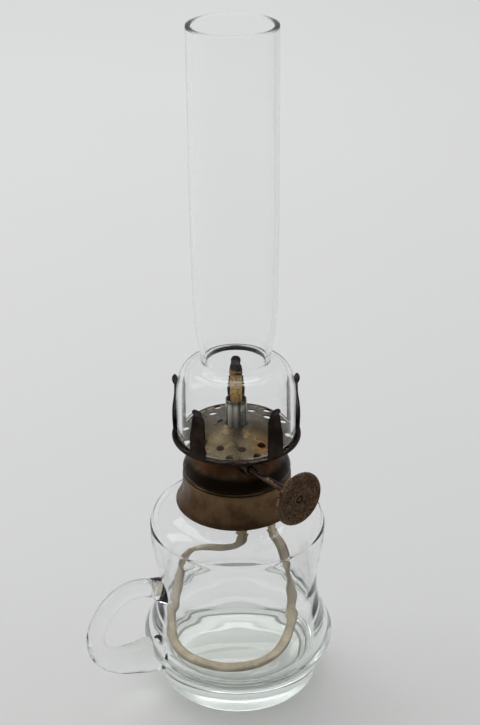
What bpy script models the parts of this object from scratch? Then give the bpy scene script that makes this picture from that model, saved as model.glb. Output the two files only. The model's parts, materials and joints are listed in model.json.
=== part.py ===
"""A small kerosene hand lamp: glass font with a handle, brass burner, wick, winder and chimney.

The lamp's axis is Z, its foot stands on Z = 0, and X points away from the handle's side.
Lengths are in metres. The burner lifts out, the chimney pulls up, the knob turns, the wick climbs.
"""
import math

import bmesh
import bpy
from mathutils import Matrix, Vector

TAU = 2.0 * math.pi

# Fits
GAP = 0.0003                  # between pieces that touch
RUNNING_GAP = 0.0003          # round a turning shaft
PRONG_GAP = 0.0003            # from the chimney to the springs
NECK_CLEARANCE = 0.0008       # from the collar's throat to the neck's bore
WICK_CLEARANCE = 0.00095      # from the wick's edge to the tube's bore
SHAFT_CLEARANCE = 0.00205     # from the wick tube to the shaft
DRUM_TOP_CLEARANCE = 0.00033  # from the drum's crown to the plate above it

# Glass font: foot, lower roll, waist, shoulder and neck
FOOT_RADIUS = 0.0324
ROLL_RADIUS = 0.0387
ROLL_Z = 0.0195
WAIST_RADIUS = 0.0320
WAIST_Z = 0.0440
SHOULDER_RADIUS = 0.0349
SHOULDER_Z = 0.0700
SHOULDER_RISE = 0.0120        # from the shoulder up to the collar
FONT_FLOOR_Z = 0.0125
FONT_WALL = 0.0022
ROLL_WALL = 0.0052            # the thicker glass inside the roll
NECK_WALL = 0.0020
NECK_ROOM = 0.0033            # from the neck's lip to the collar's top edge

# Handle: a loop of drawn glass on the font's left, thick where it starts at the foot
HANDLE_AZIMUTH = math.radians(200.0)
HANDLE_ROD = 0.0074           # thickness of the loop's slim part
HANDLE_OUT = 0.0221           # from the roll's edge to the middle of the rod
HANDLE_ABOVE_WAIST = 0.0050
HANDLE_BELOW_ROLL = 0.0039

# Collar that is cemented on the neck
COLLAR_HEIGHT = 0.0133
COLLAR_FLARE = 0.00285
COLLAR_SHEET = 0.0006
THROAT_RADIUS = 0.0152
PLASTER_THICKNESS = 0.0015

# Burner
DRUM_SHEET = 0.0005
DRUM_INSET = 0.0002           # from the collar's edge to the drum's
DRUM_CROWN_RADIUS = 0.0122
BASE_SHEET = 0.0007
BASE_DEPTH = 0.0096           # the screw skirt below the collar's top

# Gallery: ring, perforated plate and five springs
GALLERY_LIFT = 0.0160         # from the collar's top to the ring's underside
RING_MARGIN = 0.0020          # from the chimney's bulb to the ring's edge
RING_HEIGHT = 0.0013
RING_SHEET = 0.0004
RING_WALL = 0.0015            # the rolled edge outside the plate
PLATE_SHEET = 0.0005
PLATE_RISE = 0.0042           # from the rim up to the wick tube
HOLE_RADIUS = 0.0016
HOLES_PER_RING = 12
HOLE_RING_INSET = 0.0047      # from the ring's edge to the outer row of holes
HOLE_RING_STEP = 0.0048
OUTER_HOLE_PHASE = math.radians(22.0)
INNER_HOLE_PHASE = math.radians(7.0)
VENT_RADIUS = 0.0012
VENT_MARGIN = 0.00155         # from the wick tube to the vent hole
VENT_AZIMUTH = math.radians(158.0)
PRONG_COUNT = 5
PRONG_WIDTH = 0.0070
PRONG_SHEET = 0.0005
PRONG_HEIGHT = 0.0204         # above the ring's edge
PRONG_NECK = 0.0056
PRONG_HEAD = 0.0043

# Wick and its tube
WICK_WIDTH = 0.0054
WICK_THICKNESS = 0.0030
TUBE_SHEET = 0.0004
TUBE_RISE = 0.0105            # above the plate's middle
TUBE_DROP = 0.0130            # below the collar's top
WICK_SHOWN = 0.0160           # above the tube
TAIL_WIDTH = 0.0046
TAIL_THICKNESS = 0.0018

# Winder
SHAFT_AZIMUTH = math.radians(-50.5)
SHAFT_LIFT = 0.0107           # from the collar's top to the shaft
SHAFT_RADIUS = 0.0013
SHAFT_REACH = 0.0452          # from the wick to the shaft's outer end
SHAFT_INNER_END = 0.0078
SPUR_TEETH = 14
SPUR_THICKNESS = 0.0008
SPUR_SPACING = 0.0026
SPUR_TOOTH_DEPTH = 0.0009
BRACKET_SHEET = 0.0007
BRACKET_HEIGHT = 0.0060
BUSH_WALL = 0.0007
BUSH_LENGTH = 0.0052
KNOB_RADIUS = 0.0106
KNOB_THICKNESS = 0.0014
KNOB_TEETH = 56
KNOB_TOOTH_DEPTH = 0.0003
WASHER_RADIUS = 0.0027
WASHER_THICKNESS = 0.0010

# Chimney
CHIMNEY_HEIGHT = 0.1594
CHIMNEY_WALL = 0.0018
BULB_RADIUS = 0.0230
BULB_HEIGHT = 0.0130          # the straight part of the bulb
CRIMP_INSET = 0.0031          # how far the crimp pulls the tube in
CRIMP_HEIGHT = 0.0302         # from the foot up to the crimp
TUBE_RADIUS = 0.0163

# Sizes and places worked out from the ones above
NECK_RADIUS = THROAT_RADIUS + COLLAR_SHEET + NECK_CLEARANCE + NECK_WALL
COLLAR_RADIUS = NECK_RADIUS + GAP + PLASTER_THICKNESS + GAP + COLLAR_SHEET
COLLAR_FOOT_RADIUS = COLLAR_RADIUS + COLLAR_FLARE
COLLAR_FOOT_Z = SHOULDER_Z + SHOULDER_RISE
NECK_LENGTH = COLLAR_HEIGHT - NECK_ROOM
HANDLE_REACH = ROLL_RADIUS + HANDLE_OUT
HANDLE_TOP_Z = WAIST_Z + HANDLE_ABOVE_WAIST
HANDLE_LOW_Z = ROLL_Z - HANDLE_BELOW_ROLL
DRUM_RADIUS = COLLAR_RADIUS - DRUM_INSET
RING_RADIUS = BULB_RADIUS + RING_MARGIN
OUTER_HOLE_RING = RING_RADIUS - HOLE_RING_INSET
INNER_HOLE_RING = OUTER_HOLE_RING - HOLE_RING_STEP
CRIMP_RADIUS = TUBE_RADIUS - CRIMP_INSET
TUBE_BORE = WICK_WIDTH + 2.0 * WICK_CLEARANCE
BUSH_RADIUS = SHAFT_RADIUS + RUNNING_GAP + BUSH_WALL
COLLAR_TOP_Z = COLLAR_FOOT_Z + COLLAR_HEIGHT
BASE_TOP_Z = COLLAR_TOP_Z + GAP + BASE_SHEET
RING_Z = COLLAR_TOP_Z + GALLERY_LIFT
PLATE_RIM_Z = RING_Z + RING_SHEET + GAP + PLATE_SHEET
PLATE_MIDDLE_Z = PLATE_RIM_Z + PLATE_RISE
TUBE_RADIUS_OUT = TUBE_BORE / 2.0 + TUBE_SHEET
VENT_RING = TUBE_RADIUS_OUT + VENT_MARGIN + VENT_RADIUS
SHAFT_OFFSET = TUBE_RADIUS_OUT + SHAFT_RADIUS + SHAFT_CLEARANCE
TUBE_TOP_Z = PLATE_MIDDLE_Z + TUBE_RISE
TUBE_FOOT_Z = COLLAR_TOP_Z - TUBE_DROP
WICK_TOP_Z = TUBE_TOP_Z + WICK_SHOWN
WICK_FOOT_Z = TUBE_FOOT_Z - 0.0023
CHIMNEY_FOOT_Z = PLATE_RIM_Z + GAP
SHAFT_Z = COLLAR_TOP_Z + SHAFT_LIFT
SPUR_RADIUS = SHAFT_OFFSET - WICK_THICKNESS / 2.0 - RUNNING_GAP
SHAFT_DIRECTION = Vector((math.cos(SHAFT_AZIMUTH), math.sin(SHAFT_AZIMUTH), 0.0))
SHAFT_SIDE = Vector((-math.sin(SHAFT_AZIMUTH), math.cos(SHAFT_AZIMUTH), 0.0))
SHAFT_MIDDLE = -SHAFT_OFFSET * SHAFT_SIDE + Vector((0.0, 0.0, SHAFT_Z))

# The loose tail's route through the font, from the burner to its cut end.
# It is drawn for a font of this inside radius and this fall, and takes the real font's instead.
TAIL_ROOM = TAIL_WIDTH / 2.0 + GAP    # from the tail's middle line to the glass
TAIL_CAVITY = 0.0298
TAIL_FALL = 0.0675
TAIL_FOOT_GAP = 0.0004        # from the standing wick's foot to the tail's first point
TAIL_POINTS = [
    (0.0010, -0.0005, 0.0796), (0.0020, -0.0025, 0.0740), (0.0025, -0.0048, 0.0688),
    (0.0000, -0.0060, 0.0648), (-0.0055, -0.0055, 0.0628), (-0.0115, -0.0030, 0.0612),
    (-0.0170, 0.0015, 0.0572), (-0.0212, 0.0065, 0.0508), (-0.0240, 0.0100, 0.0425),
    (-0.0258, 0.0075, 0.0330), (-0.0280, 0.0015, 0.0245), (-0.0278, -0.0065, 0.0182),
    (-0.0232, -0.0135, 0.0150), (-0.0156, -0.0190, 0.0143), (-0.0062, -0.0222, 0.0142),
    (0.0035, -0.0215, 0.0142), (0.0118, -0.0175, 0.0142), (0.0178, -0.0100, 0.0146),
    (0.0212, -0.0010, 0.0158), (0.0228, 0.0085, 0.0204), (0.0228, 0.0140, 0.0285),
    (0.0212, 0.0162, 0.0375), (0.0190, 0.0162, 0.0462), (0.0160, 0.0150, 0.0535),
    (0.0128, 0.0128, 0.0600), (0.0100, 0.0105, 0.0655),
]


# Helpers

def clear_scene():
    for item in list(bpy.data.objects):
        bpy.data.objects.remove(item, do_unlink=True)


def make_material(name, color, roughness, metallic=0.0, transmission=0.0):
    material = bpy.data.materials.new(name)
    material.use_nodes = True
    shader = material.node_tree.nodes["Principled BSDF"]
    shader.inputs["Base Color"].default_value = (*color, 1.0)
    shader.inputs["Roughness"].default_value = roughness
    shader.inputs["Metallic"].default_value = metallic
    shader.inputs["Transmission Weight"].default_value = transmission
    material.diffuse_color = (*color, 1.0)
    return material


def place(name, mesh, material, parent=None):
    item = bpy.data.objects.new(name, mesh)
    bpy.context.collection.objects.link(item)
    if material:
        mesh.materials.append(material)
    if parent:
        item.parent = parent
    return item


def mesh_object(name, bm, material, parent=None, sharp_angle=35.0):
    bmesh.ops.recalc_face_normals(bm, faces=bm.faces)
    mesh = bpy.data.meshes.new(name)
    bm.to_mesh(mesh)
    bm.free()
    mesh.shade_smooth()
    mesh.set_sharp_from_angle(angle=math.radians(sharp_angle))
    return place(name, mesh, material, parent)


def smooth_through(points, per_span):
    """Points of a Catmull-Rom curve through the given ones."""
    given = [Vector(p) for p in points]
    ends = [2.0 * given[0] - given[1]] + given + [2.0 * given[-1] - given[-2]]
    result = []
    for index in range(len(given) - 1):
        a, b, c, d = ends[index:index + 4]
        for step in range(per_span):
            t = step / per_span
            result.append(0.5 * (2.0 * b + (c - a) * t + (2.0 * a - 5.0 * b + 4.0 * c - d) * t * t
                                 + (3.0 * b - a - 3.0 * c + d) * t ** 3))
    result.append(given[-1])
    return result


def arc(centre_r, centre_z, radius, start, end, steps):
    """Points of an arc in the (radius, height) plane, angles in degrees."""
    points = []
    for step in range(steps + 1):
        angle = math.radians(start + (end - start) * step / steps)
        points.append((centre_r + radius * math.cos(angle), centre_z + radius * math.sin(angle)))
    return points


def turned(name, outline, material, steps=32, closed=True, parent=None):
    """A piece turned about Z from an outline of (radius, height) points."""
    bm = bmesh.new()
    verts = [bm.verts.new((r, 0.0, z)) for r, z in outline]
    edges = [bm.edges.new(pair) for pair in zip(verts, verts[1:])]
    if closed:
        edges.append(bm.edges.new((verts[-1], verts[0])))
    bmesh.ops.spin(bm, geom=verts + edges, cent=(0.0, 0.0, 0.0), axis=(0.0, 0.0, 1.0),
                   angle=TAU, steps=steps, use_merge=True)
    bmesh.ops.remove_doubles(bm, verts=bm.verts, dist=1e-6)
    return mesh_object(name, bm, material, parent)


def offset_outline(outline, distance):
    """The outline moved sideways, to the left of its direction for a positive distance."""
    moved = []
    for index, point in enumerate(outline):
        before = Vector(outline[max(index - 1, 0)])
        after = Vector(outline[min(index + 1, len(outline) - 1)])
        along = (after - before).normalized()
        moved.append((point[0] - along.y * distance, point[1] + along.x * distance))
    return moved


def extruded(name, outline, thickness, material, parent=None):
    """A flat plate from an outline in XY, from Z = 0 up to its thickness."""
    bm = bmesh.new()
    face = bm.faces.new([bm.verts.new((x, y, 0.0)) for x, y in outline])
    grown = bmesh.ops.extrude_face_region(bm, geom=[face])
    top = [item for item in grown["geom"] if isinstance(item, bmesh.types.BMVert)]
    bmesh.ops.translate(bm, verts=top, vec=(0.0, 0.0, thickness))
    return mesh_object(name, bm, material, parent)


def circle_points(radius, count, phase=0.0):
    return [(radius * math.cos(phase + TAU * i / count), radius * math.sin(phase + TAU * i / count))
            for i in range(count)]


def tooth_points(radius, depth, count):
    points = []
    for index in range(2 * count):
        reach = radius if index % 2 == 0 else radius - depth
        angle = math.pi * index / count
        points.append((reach * math.cos(angle), reach * math.sin(angle)))
    return points


def rod(name, radius, length, material=None, sides=16, parent=None):
    """A round bar along Z, from Z = 0 up."""
    return extruded(name, circle_points(radius, sides), length, material, parent)


def cutter(item):
    item.hide_render = True
    item.display_type = "WIRE"
    return item


def cut(item, tool, operation="DIFFERENCE"):
    modifier = item.modifiers.new(tool.name, "BOOLEAN")
    modifier.operation = operation
    modifier.solver = "EXACT"
    modifier.object = tool


def shaft_frame(along):
    """The matrix that lays local Z along the shaft, at a distance from the wick."""
    rows = Matrix((SHAFT_SIDE, Vector((0.0, 0.0, 1.0)), SHAFT_DIRECTION)).transposed()
    return Matrix.Translation(SHAFT_MIDDLE + along * SHAFT_DIRECTION) @ rows.to_4x4()


# Glass font

def font_outer():
    """The font's outside, from the foot's rounded edge up to where the neck starts."""
    edge = arc(FOOT_RADIUS - 0.0024, 0.0024, 0.0024, -90.0, 0.0, 3)
    shoulder_drop = COLLAR_FOOT_Z - SHOULDER_Z
    side = [
        (FOOT_RADIUS + 0.0010, ROLL_Z - 0.0115),
        (FOOT_RADIUS + 0.0028, ROLL_Z - 0.0060),
        (ROLL_RADIUS - 0.0010, ROLL_Z - 0.0029),
        (ROLL_RADIUS - 0.0002, ROLL_Z - 0.0012),
        (ROLL_RADIUS, ROLL_Z),
        (ROLL_RADIUS - 0.0002, ROLL_Z + 0.0016),
        (ROLL_RADIUS - 0.0013, ROLL_Z + 0.0045),
        (WAIST_RADIUS + 0.0022, ROLL_Z + 0.0110),
        (WAIST_RADIUS + 0.0003, WAIST_Z - 0.0055),
        (WAIST_RADIUS + 0.0002, WAIST_Z + 0.0030),
        ((WAIST_RADIUS + SHOULDER_RADIUS) / 2.0, (WAIST_Z + SHOULDER_Z) / 2.0),
        (SHOULDER_RADIUS - 0.0003, SHOULDER_Z - 0.0050),
        (SHOULDER_RADIUS, SHOULDER_Z + 0.0010),
        (SHOULDER_RADIUS - 0.0004, SHOULDER_Z + 0.27 * shoulder_drop),
        (SHOULDER_RADIUS - 0.0018, SHOULDER_Z + 0.52 * shoulder_drop),
        (SHOULDER_RADIUS - 0.0040, SHOULDER_Z + 0.71 * shoulder_drop),
        (SHOULDER_RADIUS - 0.0068, SHOULDER_Z + 0.86 * shoulder_drop),
        (COLLAR_FOOT_RADIUS, COLLAR_FOOT_Z - 0.0006),
        (NECK_RADIUS + 0.0012, COLLAR_FOOT_Z + 0.0004),
    ]
    return edge + side


def make_font(glass):
    outer = font_outer()
    neck_top = COLLAR_FOOT_Z + NECK_LENGTH
    bore = NECK_RADIUS - NECK_WALL
    lip = NECK_WALL / 2.0
    neck = [(NECK_RADIUS, COLLAR_FOOT_Z + 0.0020)]
    neck += arc(NECK_RADIUS - lip, neck_top - lip, lip, 0.0, 180.0, 4)
    neck += [(bore, COLLAR_FOOT_Z + 0.0012)]
    body = [p for p in outer if p[1] > WAIST_Z and p[1] < COLLAR_FOOT_Z - 0.0003]
    inside = [p for p in reversed(offset_outline(body, FONT_WALL))]
    cavity = WAIST_RADIUS - FONT_WALL
    belly = ROLL_RADIUS - ROLL_WALL
    corner = 0.0070
    inside += [(cavity, WAIST_Z - 0.0040), (cavity + 0.0013, ROLL_Z + 0.0110)]
    inside += arc(belly - corner, FONT_FLOOR_Z + 0.0006 + corner, corner, 20.0, -90.0, 5)
    outline = [(0.0, 0.0)] + outer + neck + inside + [(0.0, FONT_FLOOR_Z)]
    turned("glass_font", outline, glass, closed=False)


def handle_route():
    """The loop's middle line as (reach, height, half thickness), from the top end to the low end."""
    half = HANDLE_ROD / 2.0
    drop = HANDLE_TOP_Z - HANDLE_LOW_Z
    return [
        (WAIST_RADIUS - 0.0010, HANDLE_TOP_Z - 0.0040, half + 0.0009),
        (WAIST_RADIUS + 0.0045, HANDLE_TOP_Z - 0.0008, half + 0.0003),
        (HANDLE_REACH - 0.0168, HANDLE_TOP_Z, half + 0.0001),
        (HANDLE_REACH - 0.0116, HANDLE_TOP_Z - 0.0014, half),
        (HANDLE_REACH - 0.0068, HANDLE_TOP_Z - 0.16 * drop, half),
        (HANDLE_REACH - 0.0030, HANDLE_TOP_Z - 0.32 * drop, half),
        (HANDLE_REACH - 0.0005, HANDLE_TOP_Z - 0.50 * drop, half),
        (HANDLE_REACH, HANDLE_TOP_Z - 0.65 * drop, half + 0.0001),
        (HANDLE_REACH - 0.0014, HANDLE_LOW_Z + 0.0064, half + 0.0006),
        (HANDLE_REACH - 0.0052, HANDLE_LOW_Z + 0.0024, half + 0.0013),
        (HANDLE_REACH - 0.0105, HANDLE_LOW_Z + 0.0004, half + 0.0020),
        (ROLL_RADIUS + 0.0062, HANDLE_LOW_Z, half + 0.0027),
        (ROLL_RADIUS - 0.0020, HANDLE_LOW_Z, half + 0.0035),
        (ROLL_RADIUS - 0.0070, HANDLE_LOW_Z, half + 0.0037),
    ]


def make_handle(glass):
    sides = 12
    outward = Vector((math.cos(HANDLE_AZIMUTH), math.sin(HANDLE_AZIMUTH), 0.0))
    sideways = Vector((-outward.y, outward.x, 0.0))
    route = smooth_through(handle_route(), 2)
    bm = bmesh.new()
    rings = []
    for index, (reach, height, half) in enumerate(route):
        before = route[max(index - 1, 0)]
        after = route[min(index + 1, len(route) - 1)]
        along = outward * (after[0] - before[0]) + Vector((0.0, 0.0, after[1] - before[1]))
        across = along.normalized().cross(sideways)
        middle = outward * reach + Vector((0.0, 0.0, height))
        ring = []
        for side in range(sides):
            angle = TAU * side / sides
            spot = middle + half * (math.cos(angle) * sideways + math.sin(angle) * across)
            ring.append(bm.verts.new(spot))
        rings.append(ring)
    for first, second in zip(rings, rings[1:]):
        for side in range(sides):
            other = (side + 1) % sides
            bm.faces.new((first[side], first[other], second[other], second[side]))
    bm.faces.new(rings[0])
    bm.faces.new(rings[-1])
    handle = mesh_object("font_handle", bm, glass, sharp_angle=60.0)
    grown = offset_outline(font_outer(), -GAP)
    outline = [(0.0, -0.002)] + [(grown[0][0], -0.002)] + grown + [(0.0, COLLAR_FOOT_Z)]
    cut(handle, cutter(turned("font_envelope", outline, None, closed=False)))


# Collar and its bedding

def collar_outer():
    """The collar's outside from its foot bead up to its top edge."""
    foot = COLLAR_FOOT_Z
    flare = COLLAR_FOOT_RADIUS - COLLAR_RADIUS
    bead = arc(COLLAR_FOOT_RADIUS - 0.0006, foot + 0.0006, 0.0006, -90.0, 60.0, 3)
    skirt = [
        (COLLAR_RADIUS + 0.83 * flare, foot + 0.0016),
        (COLLAR_RADIUS + 0.52 * flare, foot + 0.0036),
        (COLLAR_RADIUS + 0.22 * flare, foot + 0.0060),
        (COLLAR_RADIUS + 0.05 * flare, foot + 0.0084),
    ]
    return bead + skirt + [(COLLAR_RADIUS, foot + COLLAR_HEIGHT - 0.0008)]


def make_collar(brass, plaster):
    outer = collar_outer()
    top = COLLAR_TOP_Z
    throat_foot = COLLAR_FOOT_Z + 0.0035
    throat_out = THROAT_RADIUS + COLLAR_SHEET
    under = top - COLLAR_SHEET
    inner_skirt = [(r - COLLAR_SHEET, z) for r, z in outer[4:-1]]
    outline = outer
    outline += [(COLLAR_RADIUS - 0.0006, top), (THROAT_RADIUS, top), (THROAT_RADIUS, throat_foot)]
    outline += [(throat_out, throat_foot), (throat_out, under)]
    outline += [(COLLAR_RADIUS - COLLAR_SHEET, under)] + list(reversed(inner_skirt))
    outline += [(COLLAR_FOOT_RADIUS - 0.0010, COLLAR_FOOT_Z)]
    turned("neck_collar", outline, brass)
    inner = NECK_RADIUS + GAP
    wide = COLLAR_RADIUS - COLLAR_SHEET - GAP
    low = COLLAR_FOOT_Z + 0.0024
    high = under - GAP
    turned("plaster_bed", [(inner, low), (wide, low), (wide, high), (inner, high)], plaster)


# Burner

def make_base(brass):
    """The screw skirt with its floor, and the flange that rests on the collar."""
    skirt = THROAT_RADIUS - GAP
    low = COLLAR_TOP_Z - BASE_DEPTH
    seat = COLLAR_TOP_Z + GAP
    hole = TUBE_RADIUS_OUT + GAP
    outline = [
        (hole, low), (skirt, low), (skirt, seat), (DRUM_RADIUS - 0.0002, seat),
        (DRUM_RADIUS - 0.0002, BASE_TOP_Z), (skirt - BASE_SHEET, BASE_TOP_Z),
        (skirt - BASE_SHEET, low + BASE_SHEET), (hole, low + BASE_SHEET),
    ]
    turned("burner_base", outline, brass)


def drum_outer():
    """The drum's outside, from the base's flange up to just under the plate."""
    foot = BASE_TOP_Z + GAP
    rise = plate_height(DRUM_CROWN_RADIUS) - PLATE_SHEET - DRUM_TOP_CLEARANCE - foot
    width = DRUM_RADIUS - DRUM_CROWN_RADIUS
    return [
        (DRUM_RADIUS, foot),
        (DRUM_RADIUS - 0.01 * width, foot + 0.09 * rise),
        (DRUM_RADIUS - 0.13 * width, foot + 0.25 * rise),
        (DRUM_RADIUS - 0.38 * width, foot + 0.45 * rise),
        (DRUM_RADIUS - 0.68 * width, foot + 0.69 * rise),
        (DRUM_CROWN_RADIUS + 0.06 * width, foot + 0.92 * rise),
        (DRUM_CROWN_RADIUS, foot + rise),
    ]


def make_drum(brass):
    outer = drum_outer()
    inner = offset_outline(outer, DRUM_SHEET)
    inner[0] = (outer[0][0] - DRUM_SHEET, outer[0][1])
    inner[-1] = (outer[-1][0] - DRUM_SHEET, outer[-1][1])
    drum = turned("burner_drum", outer + list(reversed(inner)), brass)
    hole = cutter(rod("bush_hole", BUSH_RADIUS + GAP, 2.0 * DRUM_RADIUS, sides=20))
    hole.matrix_world = shaft_frame(SHAFT_INNER_END)
    cut(drum, hole)


def plate_height(radius):
    """The top of the perforated plate: a flat rim, then a shallow rise to the wick tube."""
    rim = RING_RADIUS - 0.0036
    share = max(0.0, (rim - radius) / (rim - TUBE_RADIUS_OUT))
    return PLATE_RIM_Z + PLATE_RISE * share * (0.72 + 0.28 * share)


def make_gallery(dark_brass, tarnish):
    ledge = RING_RADIUS - 0.0027
    step = RING_RADIUS - RING_WALL
    outline = [
        (ledge, RING_Z), (RING_RADIUS - 0.0002, RING_Z), (RING_RADIUS, RING_Z + 0.0003),
        (RING_RADIUS, RING_Z + RING_HEIGHT - 0.0003), (RING_RADIUS - 0.0003, RING_Z + RING_HEIGHT),
        (step, RING_Z + RING_HEIGHT), (step, RING_Z + RING_SHEET), (ledge, RING_Z + RING_SHEET),
    ]
    turned("gallery_ring", outline, dark_brass)
    edge = step - GAP
    bore = TUBE_RADIUS_OUT + GAP
    radii = [edge, RING_RADIUS - 0.0036, 0.018, 0.013, 0.009, bore]
    top = [(r, plate_height(r)) for r in radii]
    under = [(r, z - PLATE_SHEET) for r, z in reversed(top)]
    plate = turned("gallery_plate", top + under, tarnish)
    rings = [
        (OUTER_HOLE_RING, OUTER_HOLE_PHASE, HOLE_RADIUS, HOLES_PER_RING),
        (INNER_HOLE_RING, INNER_HOLE_PHASE, HOLE_RADIUS, HOLES_PER_RING),
        (VENT_RING, VENT_AZIMUTH, VENT_RADIUS, 1),
    ]
    for ring_index, (ring, phase, radius, count) in enumerate(rings):
        bm = bmesh.new()
        for x, y in circle_points(ring, count, phase):
            move = Matrix.Translation((x, y, plate_height(ring)))
            bmesh.ops.create_cone(bm, cap_ends=True, segments=10, radius1=radius, radius2=radius,
                                  depth=0.008, matrix=move)
        cut(plate, cutter(mesh_object("punch_%d" % ring_index, bm, None)))


def prong_route():
    """The spring's S shape as (distance from the lamp's axis, height, half width)."""
    touch = BULB_RADIUS + PRONG_GAP + PRONG_SHEET / 2.0
    root = RING_RADIUS - RING_WALL / 2.0
    low = RING_Z + RING_HEIGHT + GAP
    return [
        (root, low, PRONG_WIDTH / 2.0),
        (root + 0.0001, low + 0.12 * PRONG_HEIGHT, PRONG_WIDTH / 2.0),
        (root + 0.0001, low + 0.28 * PRONG_HEIGHT, PRONG_WIDTH / 2.0),
        (root - 0.0001, low + 0.46 * PRONG_HEIGHT, 0.48 * PRONG_WIDTH),
        (touch + 0.0002, low + 0.62 * PRONG_HEIGHT, 0.53 * PRONG_NECK),
        (touch, low + 0.74 * PRONG_HEIGHT, 0.50 * PRONG_NECK),
        (touch + 0.0001, low + 0.81 * PRONG_HEIGHT, 0.46 * PRONG_NECK),
        (touch + 0.0003, low + 0.86 * PRONG_HEIGHT, 0.44 * PRONG_HEAD),
        (touch + 0.0007, low + 0.91 * PRONG_HEIGHT, 0.50 * PRONG_HEAD),
        (touch + 0.0011, low + 0.96 * PRONG_HEIGHT, 0.45 * PRONG_HEAD),
        (touch + 0.0013, low + 1.00 * PRONG_HEIGHT, 0.20 * PRONG_HEAD),
    ]


def prong_mesh():
    bm = bmesh.new()
    route = prong_route()
    rings = []
    for index, (reach, height, half) in enumerate(route):
        before = Vector(route[max(index - 1, 0)][:2])
        after = Vector(route[min(index + 1, len(route) - 1)][:2])
        along = (after - before).normalized()
        shift = Vector((along.y, 0.0, -along.x)) * PRONG_SHEET / 2.0
        ring = []
        for side, face in ((-1, -1), (1, -1), (1, 1), (-1, 1)):
            ring.append(bm.verts.new(Vector((reach, side * half, height)) + face * shift))
        rings.append(ring)
    for first, second in zip(rings, rings[1:]):
        for side in range(4):
            other = (side + 1) % 4
            bm.faces.new((first[side], first[other], second[other], second[side]))
    bm.faces.new(rings[0])
    bm.faces.new(rings[-1])
    bmesh.ops.recalc_face_normals(bm, faces=bm.faces)
    mesh = bpy.data.meshes.new("spring_prong")
    bm.to_mesh(mesh)
    bm.free()
    mesh.shade_smooth()
    mesh.set_sharp_from_angle(angle=math.radians(35.0))
    return mesh


def make_prongs(dark_brass):
    mesh = prong_mesh()
    mesh.materials.append(dark_brass)
    for index in range(PRONG_COUNT):
        prong = place("spring_prong_%d" % (index + 1), mesh, None)
        prong.rotation_euler = (0.0, 0.0, math.pi / 2.0 + TAU * index / PRONG_COUNT)


# Wick and tube

def stadium(width, thickness, steps=4):
    """A flat bar's section with round edges, its width along X."""
    half = width / 2.0 - thickness / 2.0
    points = []
    for side, start in ((1.0, -90.0), (-1.0, 90.0)):
        points += [(side * half + x, y) for x, y in arc(0.0, 0.0, thickness / 2.0, start,
                                                        start + 180.0, steps)]
    return points


def make_tube(metal):
    bore = TUBE_BORE / 2.0
    outline = [(bore, TUBE_FOOT_Z), (TUBE_RADIUS_OUT, TUBE_FOOT_Z), (TUBE_RADIUS_OUT, TUBE_TOP_Z),
               (bore, TUBE_TOP_Z)]
    tube = turned("wick_tube", outline, metal, steps=24)
    reach = SPUR_RADIUS ** 2 - (SHAFT_OFFSET - TUBE_RADIUS_OUT) ** 2
    half_height = math.sqrt(max(reach, 0.0)) + 0.0006
    half_width = SPUR_SPACING / 2.0 + SPUR_THICKNESS / 2.0 + RUNNING_GAP
    depth = TUBE_RADIUS_OUT - 0.0005
    slot = extruded("spur_slot", [(-depth, -half_height), (depth, -half_height),
                                  (depth, half_height), (-depth, half_height)], 2.0 * half_width, None)
    slot.matrix_world = shaft_frame(-half_width) @ Matrix.Translation(
        (SHAFT_OFFSET - TUBE_RADIUS_OUT, 0.0, 0.0))
    cut(tube, cutter(slot))


def make_wick(cotton):
    """The straight part of the wick with a rounded, burnt top, and the loose tail in the font."""
    height = WICK_TOP_Z - WICK_FOOT_Z
    levels = [(0.0, 1.0), (height - 0.0030, 1.0), (height - 0.0012, 0.88), (height, 0.55)]
    section = stadium(WICK_WIDTH, WICK_THICKNESS, 3)
    bm = bmesh.new()
    rings = []
    for level, share in levels:
        rings.append([bm.verts.new((x * share, y * share, level)) for x, y in section])
    for first, second in zip(rings, rings[1:]):
        for side in range(len(section)):
            other = (side + 1) % len(section)
            bm.faces.new((first[side], first[other], second[other], second[side]))
    bm.faces.new(rings[0])
    bm.faces.new(rings[-1])
    strip = mesh_object("wick_strip", bm, cotton)
    strip.rotation_euler = (0.0, 0.0, SHAFT_AZIMUTH)
    strip.location = (0.0, 0.0, WICK_FOOT_Z)
    curve = bpy.data.curves.new("wick_tail", "CURVE")
    curve.dimensions = "3D"
    curve.fill_mode = "FULL"
    curve.twist_mode = "Z_UP"
    curve.extrude = (TAIL_WIDTH - TAIL_THICKNESS) / 2.0
    curve.bevel_depth = TAIL_THICKNESS / 2.0
    curve.bevel_resolution = 2
    curve.use_fill_caps = True
    spline = curve.splines.new("POLY")
    wider = (WAIST_RADIUS - FONT_WALL - TAIL_ROOM) / (TAIL_CAVITY - TAIL_ROOM)
    taller = (WICK_FOOT_Z - FONT_FLOOR_Z) / TAIL_FALL
    fall = Matrix.Diagonal((wider, wider, taller))
    floor = Vector((0.0, 0.0, FONT_FLOOR_Z))
    drawn_floor = Vector((0.0, 0.0, TAIL_POINTS[0][2] + TAIL_FOOT_GAP - TAIL_FALL))
    route = [floor + fall @ (spot - drawn_floor) for spot in smooth_through(TAIL_POINTS, 2)]
    spline.points.add(len(route) - 1)
    for point, spot in zip(spline.points, route):
        point.co = (*spot, 1.0)
        point.tilt = math.radians(90.0)
    place("wick_tail", curve, cotton)


# Winder

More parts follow.
